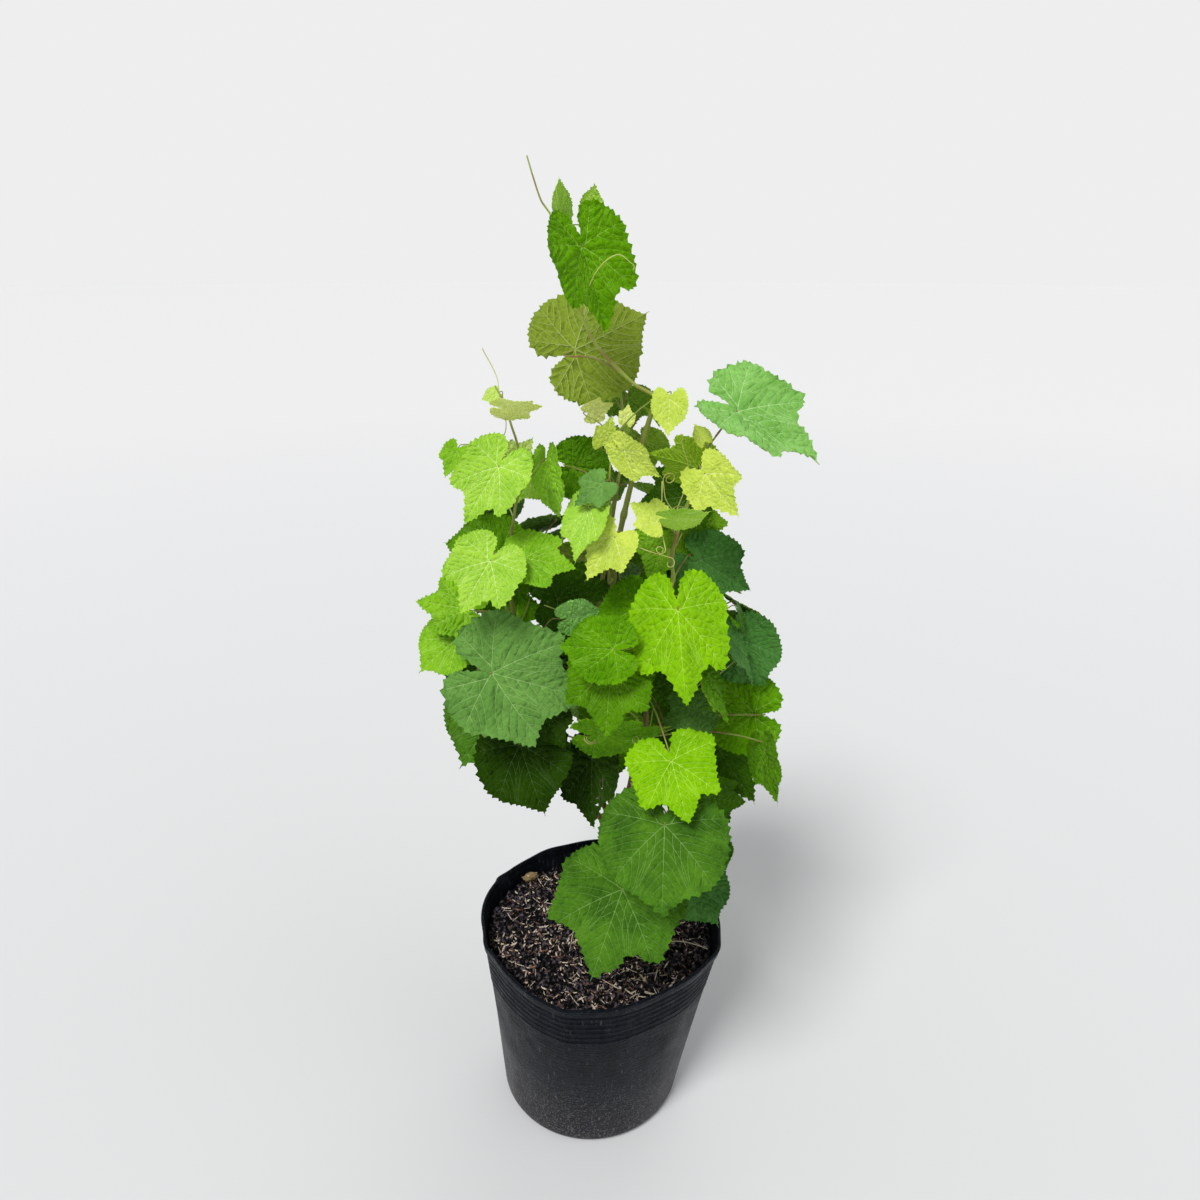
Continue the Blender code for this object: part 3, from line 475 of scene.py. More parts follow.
FILL_SHRINK = 0.45            # the last try of a leaf is this much smaller
SMALL_COUNT = 11              # small leaves that fill in each of them, and their share of its size
SMALL_SHARE = 0.6
SMALL_INSET = 2.0             # they keep this many cm inside the crown's outline

# The crown's outline seen from the front: height, left and right limit in cm.
OUTLINE = [
    (38, -3, 12), (42, -6, 15), (46, -11, 17), (52, -15.5, 18), (58, -17.5, 17.5), (64, -17, 16),
    (70, -15, 13.5), (76, -13, 12), (80, -4, 9.0), (86, -6, 4.0), (92, -6, 3.5), (98, -3, 1),
]
# Where the sky shows through it: x, height and radius in cm.
SKY = [(-8.0, 60.6, 2.4), (-4.2, 47.6, 1.4), (12.2, 55.4, 1.5)]


def inside_outline(x, z, inset):
    """True when a place seen from the front is in the crown, this far from its edge and gaps."""
    if not OUTLINE[0][0] < z < OUTLINE[-1][0]:
        return False
    if any(math.hypot(x - sky_x, z - sky_z) < radius + inset for sky_x, sky_z, radius in SKY):
        return False
    for (low, left, right), (high, next_left, next_right) in zip(OUTLINE, OUTLINE[1:]):
        if low <= z <= high:
            share = (z - low) / (high - low)
            left += (next_left - left) * share + inset
            right += (next_right - right) * share - inset
            return left < x < right
    return False


def covers(rim, x, z):
    """True when a closed outline of (x, z) points goes round a place."""
    inside = False
    for (ax, az), (bx, bz) in zip(rim, rim[1:] + rim[:1]):
        if (az > z) != (bz > z) and x < ax + (bx - ax) * (z - az) / (bz - az):
            inside = not inside
    return inside


def hidden_by_crown(leaf, frame, inset):
    """True when a blade at the back stays inside the crown's outline and out of its gaps."""
    rim = [seen_at(frame @ point) for point in blade_points(leaf)]
    if any(covers(rim, sky_x, sky_z) for sky_x, sky_z, _ in SKY):
        return False
    return all(inside_outline(x, z, inset) for x, z in rim)


def grown_frames(fill, route, index, rng):
    """Places for one leaf of the back: alternate sides, stalks of seeded length and turn."""
    side = 1 if index % 2 else -1
    share = (index + 0.6) / fill.count
    node = route[1 + round(share * (len(route) - 2))]
    for attempt in range(FILL_TRIES):
        size = fill.size * rng.uniform(*SIZE_SPREAD) * (1.0 - FILL_SHRINK * attempt / FILL_TRIES)
        turn = math.radians(fill.facing + side * rng.uniform(0.1, 1.0) * FACING_SPREAD)
        out = Vector((math.cos(turn), math.sin(turn), 0.0))
        rise = rng.uniform(*RISE_SPREAD)
        place = node + (out + UP * rise).normalized() * rng.uniform(*STALK_SHARE) * size * CM
        hang = math.radians(rng.uniform(*HANG))
        rib = out * math.cos(hang) - UP * math.sin(hang)
        face = out * math.sin(hang) + UP * math.cos(hang)
        roll = rng.uniform(*ROLL_SPREAD)
        leaf = Leaf(0, 0, 0, 0, 0, roll, size, "mid")
        yield leaf, frame_from(place, rib, face, roll)


def start_on(route, height, towards):
    """A point and direction just clear of a cane's side, or of its tip."""
    if height is None:
        along = (route[-1] - route[-2]).normalized()
        return route[-1] + along * CLEAR, along
    index = min(range(1, len(route) - 1), key=lambda i: abs(seen_at(route[i])[1] - height))
    axis = (route[index + 1] - route[index - 1]).normalized()
    side = towards - route[index]
    side = (side - axis * side.dot(axis)).normalized()
    share = index / (len(route) - 1)
    radius = CANE_FOOT + (CANE_TIP - CANE_FOOT) * share
    return route[index] + side * (radius + CLEAR * 2.0), side


def set_places(mass):
    """For each leaf that is set from the front, its places."""
    for leaf in mass.leaves:
        yield sighted_frames(leaf)


def filled_places(name, fill, route, inset=0.0):
    """For each leaf of the back, its places inside the crown's outline."""
    rng = random.Random(name)
    for index in range(fill.count):
        yield (
            (leaf, frame, 1.0)
            for leaf, frame in grown_frames(fill, route, index, rng)
            if hidden_by_crown(leaf, frame, inset)
        )


# ---------------------------------------------------------------- nodes and materials

# The kinds of node that are used most.
MATH, VECTOR, AXES = "ShaderNodeMath", "ShaderNodeVectorMath", "ShaderNodeSeparateXYZ"
RANGE, MIX = "ShaderNodeMapRange", "ShaderNodeMix"
NOISE, BUMP = "ShaderNodeTexNoise", "ShaderNodeBump"
COMPARE, RANDOM = "FunctionNodeCompare", "FunctionNodeRandomValue"
ATTRIBUTE = "GeometryNodeInputNamedAttribute"


def linear(colour):
    """An sRGB hex colour as linear RGBA."""
    parts = [int(colour[i:i + 2], 16) / 255 for i in (1, 3, 5)]
    return [c / 12.92 if c <= 0.04045 else ((c + 0.055) / 1.055) ** 2.4 for c in parts] + [1.0]


def set_inputs(node, inputs):
    """Links or sets a node's inputs, given in order or by name or number."""
    for name, value in inputs.items() if isinstance(inputs, dict) else enumerate(inputs):
        if isinstance(value, bpy.types.NodeSocket):
            node.id_data.links.new(value, node.inputs[name])
        elif isinstance(value, str) and value.startswith("#"):
            node.inputs[name].default_value = linear(value)
        else:
            node.inputs[name].default_value = value


def add_node(tree, kind, inputs=(), out=0, **settings):
    """Adds a node with its settings and links, and returns one of its outputs."""
    node = tree.nodes.new(kind)
    for name, value in settings.items():
        setattr(node, name, value)
    set_inputs(node, inputs)
    return node.outputs[out] if node.outputs else None


def new_material(name):
    """A material with what adds its nodes, its shader, and the Object coordinates."""
    made = bpy.data.materials.new(name)
    made.use_nodes = True
    add = partial(add_node, made.node_tree)
    shader = made.node_tree.nodes["Principled BSDF"]
    return made, add, shader, add("ShaderNodeTexCoord", out="Object")


# Vine leaf tones: upper face; a darker copy of it, strewn in random patches over the upper face as
# painted shade; veins; underside.
TONES = {
    # The young tones' undersides are brighter and yellower than their own colour: painted light
    # shining through the thin blade.
    "cream": ("#eef694", "#e0ee74", "#fbfcd0", "#e6fc74"),
    "pale": ("#d8f080", "#bee25a", "#f0f8bc", "#d2f262"),
    "yellow": ("#d4e858", "#bad642", "#f4f9b4", "#d8ee58"),
    "spring": ("#acde40", "#92ca28", "#e2f6a8", "#b4dc44"),
    "lime": ("#8ac802", "#76b402", "#bce454", "#9cc42c"),
    "bright": ("#64a204", "#4f8a02", "#98c840", "#86b02c"),
    "fresh": ("#8cc820", "#70ac16", "#c0e26c", "#a0c83c"),
    "mid": ("#5a9206", "#487a06", "#8ab640", "#7ea434"),
    "moss": ("#52841e", "#386418", "#74a044", "#6e963a"),
    "dark": ("#3e6a0c", "#2e520a", "#5c822c", "#64863a"),
    "deep": ("#274404", "#1c3602", "#446426", "#5a7834"),
    "blue": ("#528a3c", "#40742e", "#729e5a", "#6c9052"),
    "silver": ("#8cc862", "#72b048", "#bce49a", "#9cc060"),
    "grey": ("#6ea048", "#5a8a3a", "#94bc6c", "#8aae58"),
    "olive": ("#70861a", "#5c700c", "#aebe68", "#849c2e"),
}
TONE_NAMES = list(TONES)
YOUNG_TONES = ("cream", "pale", "yellow", "spring")
# Cushions of leaf tissue between fine veins, in mm, on a grown leaf and on a young one, and the
# cells inside them as a share.  Real cells are about 1 mm: they are drawn as coarse as they
# need to be to show.
CUSHION = (8.0, 4.8)
CELL_SHARE = 0.4
CUSHION_HIGH = 0.15           # how high a cushion swells, as a share of its width
LEAF_IOR = 1.45


def leaf_material(name, light, shaded, vein, rough, cushion):
    """Vine leaf, living: waxy skin with a satin gloss over puckered tissue.  The colour
    drifts in patches of painted shade, and a net of fine veins shows paler between its cushions."""
    made, add, shader, place = new_material(name)
    patches = add(NOISE, {"Vector": place, "Scale": 1 / (30 * MM), "Detail": 3.0})
    cushions, cells = (
        add("ShaderNodeTexVoronoi", {
            "Vector": place, "Scale": 1 / (size * MM)}, feature="DISTANCE_TO_EDGE")
        for size in (cushion, cushion * CELL_SHARE))
    # The shaded copy is painted shade, laid in random patches under the lit tone.
    colour = shaded
    for share, over in (
        (add(RANGE, [patches, 0.34, 0.66]), light),
        (add(RANGE, [cells, 0.10, 0.0, 0.0, 0.10]), vein),
        (add(RANGE, [cushions, 0.06, 0.0, 0.0, 0.2]), vein),
    ):
        colour = add(MIX, {0: share, 6: colour, 7: over}, 2, data_type="RGBA")
    height = add(MATH, [
        add(RANGE, [cells, 0.0, 0.35]), 0.22, add(RANGE, [cushions, 0.0, 0.32]),
    ], operation="MULTIPLY_ADD")
    set_inputs(shader, {
        "Base Color": colour, "Roughness": rough, "IOR": LEAF_IOR,
        "Specular IOR Level": 0.2, "Specular Tint": vein,
        "Normal": add(BUMP, {
            "Height": height, "Strength": 0.9, "Distance": cushion * CUSHION_HIGH * MM}),
    })
    return made


def vein_material(name, colour):
    """Leaf vein: smooth pale cord, a little glossier than the tissue round it."""
    made, add, shader, place = new_material(name)
    grain = add(NOISE, {"Vector": place, "Scale": 1 / (4 * MM), "Detail": 1.0})
    set_inputs(shader, {
        "Base Color": colour, "Roughness": 0.42,
        "Normal": add(BUMP, {"Height": grain, "Strength": 0.2, "Distance": 0.1 * MM}),
    })
    return made


def make_leaf_materials():
    """For each tone its upper face, underside and veins."""
    made = {}
    for tone, (light, shaded, vein, under) in TONES.items():
        cushion = CUSHION[tone in YOUNG_TONES]
        made[tone] = (
            leaf_material("vine_leaf_" + tone, light, shaded, vein, 0.46, cushion),
            leaf_material("vine_leaf_underside_" + tone, under, under, vein, 0.62, cushion),
            vein_material("leaf_vein_" + tone, vein),
        )
    return made


GREEN_FROM, GREEN_TO = 0.44, 0.66      # heights between which a cane turns green


def make_bark(name, dark, light, green=None):
    """Vine bark: dry fibres that split lengthwise.  A cane's own turns green with height."""
    made, add, shader, place = new_material(name)
    fibres = add(NOISE, {
        "Vector": add("ShaderNodeMapping", {"Vector": place, "Scale": (1.0, 1.0, 0.14)}),
        "Scale": 1 / (1.6 * MM), "Detail": 5.0, "Roughness": 0.62,
    })
    share = add(RANGE, [fibres, 0.34, 0.66])
    colour = add(MIX, {0: share, 6: dark, 7: light}, 2, data_type="RGBA")
    if green:
        height = add(AXES, [place], "Z")
        up = add(RANGE, [height, GREEN_FROM, GREEN_TO])
        colour = add(MIX, {0: up, 6: colour, 7: green}, 2, data_type="RGBA")
    set_inputs(shader, {
        "Base Color": colour, "Roughness": 0.82,
        "Normal": add(BUMP, {"Height": share, "Strength": 0.7, "Distance": 0.5 * MM}),
    })
    return made


def make_young_skin(name, green, red):
    """Green shoot or leaf stalk: smooth skin, flushed with red in places."""
    made, add, shader, place = new_material(name)
    flush = add(NOISE, {"Vector": place, "Scale": 1 / (22 * MM), "Detail": 2.0})
    share = add(RANGE, [flush, 0.42, 0.66])
    ribs = add(NOISE, {"Vector": place, "Scale": 1 / (1.2 * MM)})
    set_inputs(shader, {
        "Base Color": add(MIX, {0: share, 6: green, 7: red}, 2, data_type="RGBA"),
        "Roughness": 0.46,
        "Normal": add(BUMP, {"Height": ribs, "Strength": 0.2, "Distance": 0.15 * MM}),
    })
    return made


DUST_TOP = 0.13               # dust and specks thicken from this height down to the floor
CREASE_TOP = 0.19             # and the film's creases grow above it, up to this height


def make_pot_plastic():
    """Blown soft polyethylene, black: a satin skin with faint flow lines and scuffs, and a film
    of pale dust that thickens into specks low down.  Real specks are under 1 mm: they are drawn
    2 mm wide, so that they show."""
    made, add, shader, place = new_material("soft_black_polyethylene")
    height = add(AXES, [place], "Z")
    # Each pattern's size in mm, its detail, and how it is squeezed along the height.
    blotches, specks, flow, creases, scratches = (
        add(NOISE, {
            "Vector": add("ShaderNodeMapping", {"Vector": place, "Scale": (1.0, 1.0, squeeze)}),
            "Scale": 1 / (size * MM), "Detail": detail, "Roughness": 0.65,
        }) for size, detail, squeeze in (
            (34, 6.0, 1.0), (2.0, 2.0, 1.0), (7, 3.0, 0.12), (22, 4.0, 9.0), (2.4, 1.0, 0.07)))
    film, dots, folds = (
        add(MATH, [add(RANGE, where), add(RANGE, how_much)], operation="MULTIPLY")
        for where, how_much in (
            ([height, DUST_TOP, 0.0], [blotches, 0.30, 0.62]),
            ([height, DUST_TOP, 0.0, 0.0, 0.85], [specks, 0.55, 0.64]),
            ([height, DUST_TOP, CREASE_TOP, 0.3, 2.2], [creases, 0.45, 0.60])))
    colour = "#06080b"
    for share, over in (
        (add(RANGE, [flow, 0.42, 0.7]), "#13171d"),
        (film, "#2a2a2d"),
        (add(RANGE, [scratches, 0.68, 0.74, 0.0, 0.55]), "#50545a"),
        (dots, "#7b7771"),
    ):
        colour = add(MIX, {0: share, 6: colour, 7: over}, 2, data_type="RGBA")
    wrinkles = add(MATH, [flow, 0.6, specks], operation="MULTIPLY_ADD")
    relief_height = add(MATH, [wrinkles, folds])
    # Holes are painted, not cut: a near-black disc without relief, whose black stands for the shade
    # and the dark mix seen through the opening.
    for turn, level in PAINTED_HOLES:
        out = Vector((math.cos(math.radians(turn)), math.sin(math.radians(turn)), 0.0))
        centre = soft_wall(out * wall_radius(level) + UP * level)
        apart = add(VECTOR, [place, centre], "Value", operation="DISTANCE")
        solid = add(RANGE, [apart, PAINTED_HOLE_RADIUS * 0.8, PAINTED_HOLE_RADIUS])
        relief_height = add(MATH, [relief_height, solid], operation="MULTIPLY")
        colour = add(MIX, {0: solid, 6: "#020202", 7: colour}, 2, data_type="RGBA")
    set_inputs(shader, {
        "Base Color": colour, "Roughness": add(RANGE, [blotches, 0.3, 0.7, 0.26, 0.5]),
        "Specular IOR Level": 0.13, "Specular Tint": "#c0d2f2",
        "Normal": add(BUMP, {"Height": relief_height, "Strength": 0.75, "Distance": 0.6 * MM}),
    })
    return made


def make_mix(name, dark, light, grain_mm):
    """Potting mix or a piece of it: crumbs of peat and coir, dull but moist.  Real crumbs are 1
    to 2 mm: those of the mix are drawn as coarse as they need to be to show."""
    made, add, shader, place = new_material(name)
    crumbs = add(NOISE, {
        "Vector": place, "Scale": 1 / (grain_mm * MM), "Detail": 6.0, "Roughness": 0.7,
    })
    share = add(RANGE, [crumbs, 0.51, 0.62])
    set_inputs(shader, {
        "Base Color": add(MIX, {0: share, 6: dark, 7: light}, 2, data_type="RGBA"),
        "Roughness": 0.7, "Specular IOR Level": 0.12,
        "Normal": add(BUMP, {"Height": crumbs, "Strength": 1.0, "Distance": 0.7 * grain_mm * MM}),
    })
    return made


# ---------------------------------------------------------------- objects and node trees

def new_tree(name, sockets):
    """A Geometry Nodes tree with named inputs, what adds its nodes, and the inputs."""
    tree = bpy.data.node_groups.new(name, "GeometryNodeTree")
    tree.interface.new_socket("Geometry", in_out="INPUT", socket_type="NodeSocketGeometry")
    for key, kind in sockets.items():
        tree.interface.new_socket(key, in_out="INPUT", socket_type="NodeSocket" + kind)
    tree.interface.new_socket("Geometry", in_out="OUTPUT", socket_type="NodeSocketGeometry")
    return tree, partial(add_node, tree), tree.nodes.new("NodeGroupInput").outputs


def end_tree(add, geometry_out, materials):
    """Ends a tree in Realize Instances and Set Material.  Materials come as (material,
    selection) pairs, with True for one that is everywhere."""
    real = add("GeometryNodeRealizeInstances", [geometry_out])
    for material, chosen in materials:
        real = add("GeometryNodeSetMaterial", {
            "Geometry": real, "Material": material, "Selection": chosen})
    add("NodeGroupOutput", [real])


def bridge(bm, low, high):
    """The faces between two closed rings, low going round to the left as seen from outside."""
    for corners in zip(low, low[1:] + low[:1], high[1:] + high[:1], high):
        bm.faces.new(corners)


def link_object(name, data):
    obj = bpy.data.objects.new(name, data)
    bpy.context.scene.collection.objects.link(obj)
    return obj


def finish_mesh(name, bm, material):
    """A smooth mesh object from a bmesh."""
    mesh = bpy.data.meshes.new(name)
    for face in bm.faces:
        face.smooth = True
    bm.to_mesh(mesh)
    bm.free()
    mesh.materials.append(material)
    return link_object(name, mesh)


def grow(obj, tree, values):
    """Runs a tree on an object with these input values, and returns the result as a plain
    mesh object of the same name."""
    modifier = obj.modifiers.new("grow", "NODES")
    modifier.node_group = tree
    for item in tree.interface.items_tree:
        if item.in_out == "INPUT" and item.name in values:
            modifier[item.identifier] = values[item.name]
    bpy.context.view_layer.update()
    depsgraph = bpy.context.evaluated_depsgraph_get()
    mesh = bpy.data.meshes.new_from_object(obj.evaluated_get(depsgraph))
    obj.modifiers.clear()
    name, old = obj.name, obj.data
    bpy.data.objects.remove(obj, do_unlink=True)
    (bpy.data.meshes if isinstance(old, bpy.types.Mesh) else bpy.data.curves).remove(old)
    mesh.name = name
    return link_object(name, mesh)


def hidden_collection(name, objects):
    """A collection that only the node trees see, because it is in no scene."""
    made = bpy.data.collections.new(name)
    for obj in objects:
        made.objects.link(obj)
    return made


# ---------------------------------------------------------------- blades

TOOTH = 0.088                 # along the rim, in shares of the midrib, as all of these
TOOTH_TALL = 0.33             # in shares of the tooth's own length along the rim
TOOTH_LENGTHS = (0.62, 0.8, 1.0, 1.4)
TOOTH_POINTS = ((0.0, -0.3), (0.28, 0.68), (0.64, 0.36))    # along it and out of the rim
TOOTH_FADE = 0.14             # teeth shrink over this much rim before the notch
TIP_TOOTH = 0.02              # the one at the tip stands out this much
YOUNG_TOOTH = 1.25            # young leaves have this much coarser teeth
GRID = 0.034                  # between the points of the sheet, on a grown leaf
YOUNG_GRID = 0.052
OFF_VEIN = 0.55               # the points keep this far from a vein and the rim, in grid steps
OFF_RIM = 0.5
ROW = 0.866                   # rows of a grid of equal triangles
FIELD = 2.4                   # the grid covers this much each way
FIELD_CORNER = (-0.7, -1.2)
THICK = 0.0034
CHANNEL = 0.018               # veins lie this deep in the upper face
CHANNEL_WIDE = 0.019
PILLOW = 0.028                # the tissue between veins swells this much
PILLOW_WIDE = 0.05
MAIN_VEIN = 0.0086
RIDGE_ABOVE = 0.55            # veins stand out this much, in shares of their half width
RIDGE_BELOW = 1.3
SIDE_VEIN = 0.0047
MAIN_TIP = 0.6                # a vein's tip, as a share of a side vein's foot
SIDE_TIP = 0.4
VEIN_STEP = 0.03
BEND_OVER = 0.4               # a vein turns by its bend over this length
VEIN_APART = 0.035            # a side vein stops this near another vein
VEIN_FORK = 0.06              # none starts nearer than this to another main vein
VEIN_MOST = 60                # steps of the longest vein
SHORTEST = 3                  # side veins of fewer steps are left out
YOUNG_COARSER = 1.3           # young leaves have their side veins further apart
SIDE_SPACING = 0.125
SIDE_FIRST = 0.9              # the first side vein leaves this many spaces up
SIDE_ANGLE = math.radians(46)
SIDE_BEND = math.radians(24)
SHARP = math.radians(70)      # edges sharper than this aren't shaded smooth
MAIN_TURNS = (0, 46, -46, 104, -104)
YOUNG_TURNS = (0, 54, -54)
MAIN_BEND = 0.10
BASAL_TURN = 148
RIM_STEPS = 8

# One half of each outline, from the tip round to the notch: (degrees from the midrib, share).
SHAPES = {
    "heart": [(0, 1.0), (23, 0.73), (46, 0.77), (88, 0.58), (135, 0.53), (164, 0.40)],
    "round": [(0, 0.94), (16, 0.82), (34, 0.79), (58, 0.75), (95, 0.65), (135, 0.56), (164, 0.42)],
    "lobed": [(0, 1.0), (13, 0.81), (27, 0.69), (37, 0.76), (45, 0.83), (58, 0.73), (74, 0.65),
              (98, 0.66), (138, 0.55), (164, 0.41)],
    "palmate": [(0, 0.97), (12, 0.80), (25, 0.67), (35, 0.75), (44, 0.85), (55, 0.75), (70, 0.65),
                (88, 0.67), (104, 0.70), (124, 0.60), (144, 0.54), (165, 0.40)],
    "young": [(0, 1.0), (20, 0.72), (38, 0.67), (78, 0.52), (135, 0.44)],
    "young_lobed": [(0, 1.0), (16, 0.74), (32, 0.62), (46, 0.72), (66, 0.56), (100, 0.50),
                    (140, 0.44)],
}
Variety = namedtuple("Variety", "shape seed grid bites")
# Bites are eaten holes: x, y and radius in shares of the midrib.
VARIETIES = [
    Variety("heart", 1, GRID, ()),
    Variety("round", 2, GRID, ()),
    Variety("round", 12, GRID, ()),
    Variety("lobed", 3, GRID, ()),
    Variety("lobed", 13, GRID, ()),
    Variety("palmate", 7, GRID, ()),
    Variety("eaten", 4, GRID, (
        (0.34, 0.24, 0.035), (0.42, 0.26, 0.028), (0.56, 0.17, 0.03), (0.66, 0.13, 0.022))),
    Variety("young", 5, YOUNG_GRID, ()),
    Variety("young_lobed", 6, YOUNG_GRID, ()),
]
SHAPES["eaten"] = SHAPES["heart"]
GROWN_SHAPES = ("heart", "round", "round", "lobed", "lobed", "palmate")
YOUNG_SHAPES = ("young", "young_lobed")


def rim_half(variety, rng):
    """One half of a toothed rim from tip to notch, as places in shares of the midrib."""
    polar = [(turn + rng.uniform(-2, 2) * (turn > 0), share * rng.uniform(0.96, 1.03))
             for turn, share in SHAPES[variety.shape]] + [(180, NOTCH)]
    corners = [
        Vector((math.cos(math.radians(turn)) * share, math.sin(math.radians(turn)) * share, 0.0))
        for turn, share in polar
    ]
    smooth = smooth_route(corners, RIM_STEPS)
    lengths = [0.0]
    for a, b in zip(smooth, smooth[1:]):
        lengths.append(lengths[-1] + (b - a).length)
    tooth = TOOTH * (YOUNG_TOOTH if "young" in variety.shape else 1.0)
    rim = []
    start = 0.0
    while start < lengths[-1] - 0.4 * tooth:
        wide = tooth * rng.choice(TOOTH_LENGTHS) * rng.uniform(0.85, 1.15)
        for along, out in TOOTH_POINTS:
            reach = start + wide * along
            if reach > lengths[-1]:
                break
            i = max(j for j in range(len(smooth) - 1) if lengths[j] <= reach)
            span = smooth[i + 1] - smooth[i]
            place = smooth[i].lerp(smooth[i + 1], (reach - lengths[i]) / span.length)
            normal = Vector((-span.y, span.x, 0.0)).normalized()
            fade = min(1.0, (lengths[-1] - reach) / TOOTH_FADE)
            rim.append(place + normal * out * TOOTH_TALL * wide * fade)
        start += wide
    rim[0] = Vector((polar[0][1] + TIP_TOOTH, 0.0, 0.0))
    return rim


def make_rim(variety):
    rng = random.Random(variety.seed)
    right = rim_half(variety, rng)
    left = [Vector((p.x, -p.y, 0.0)) for p in rim_half(variety, rng)]
    notch = Vector((-NOTCH, 0.0, 0.0))
    return right + [notch] + left[:0:-1]


def vein_path(rim, start, turn, bend, others=None):
    """A vein from a start, turning as it runs, until the rim or another vein stops it."""
    path = [start.copy()]
    heading = turn
    while len(path) < VEIN_MOST:
        heading += bend * VEIN_STEP / BEND_OVER
        step = path[-1] + Vector((math.cos(heading), math.sin(heading), 0.0)) * VEIN_STEP
        if not covers(rim, step.x, step.y):
            break
        if len(path) > 1 and others and others.find(step)[2] < VEIN_APART:
            break
        path.append(step)
    return path


def tree_of_points(paths):
    points = [place for path in paths for place in path]
    found = KDTree(len(points))
    for i, place in enumerate(points):
        found.insert(place, i)
    found.balance()
    return found


def make_veins(variety, rim):
    """The main veins, fanned from the stalk, and the side veins that leave them."""
    young = "young" in variety.shape
    mains = []
    for turn in YOUNG_TURNS if young else MAIN_TURNS:
        bend = -math.copysign(MAIN_BEND, turn) if turn else 0.0
        mains.append(vein_path(rim, Vector(), math.radians(turn), bend))
    if not young:
        for side in (1, -1):
            lower = mains[3 if side > 0 else 4]
            mains.append(vein_path(rim, lower[2], math.radians(BASAL_TURN * side), 0.0))
    sides = []
    spacing = SIDE_SPACING * (YOUNG_COARSER if young else 1.0)
    for main in mains:
        others = tree_of_points([other for other in mains if other is not main])
        for k in range(int(VEIN_STEP * (len(main) - 1) / spacing)):
            i = round((k + SIDE_FIRST) * spacing / VEIN_STEP)
            if i + 1 >= len(main) or others.find(main[i])[2] < VEIN_FORK:
                continue
            along = main[i + 1] - main[i]
            heading = math.atan2(along.y, along.x)
            for hand in (1, -1):
                turn = heading + hand * SIDE_ANGLE
                path = vein_path(rim, main[i], turn, -hand * SIDE_BEND, others)
                if len(path) > SHORTEST:
                    sides.append(path)
    return mains, sides


def relief(veins, place):
    """How high the tissue stands: sunk along the veins and swollen between them."""
    apart = veins.find(place)[2]
    sunk = CHANNEL * math.exp(-(apart / CHANNEL_WIDE) ** 2)
    return PILLOW * (1.0 - math.exp(-(apart / PILLOW_WIDE) ** 2)) - sunk


def add_vein(bm, veins, path, foot, tip, parts):
    """A vein as a tapering closed ridge that shows on both faces of the blade."""
    rings = []
    last = len(path) - 1
    for i, place in enumerate(path):
        along = (path[min(i + 1, last)] - path[max(i - 1, 0)]).normalized()
        across = Vector((-along.y, along.x, 0.0))
        wide = foot + (tip - foot) * i / last
        mid = Vector((place.x, place.y, relief(veins, place)))
        above, below = THICK * 0.5 + wide * RIDGE_ABOVE, THICK * 0.5 + wide * RIDGE_BELOW
        offsets = (across * wide, UP * above, -across * wide, -UP * below)
        rings.append([bm.verts.new(mid + offset) for offset in offsets])
    for a, b in zip(rings, rings[1:]):
        for i in range(4):
            j = (i + 1) % 4
            bm.faces.new((a[i], b[i], b[j], a[j]))[parts] = 2
    bm.faces.new(rings[0])[parts] = 2
    bm.faces.new(rings[-1][::-1])[parts] = 2


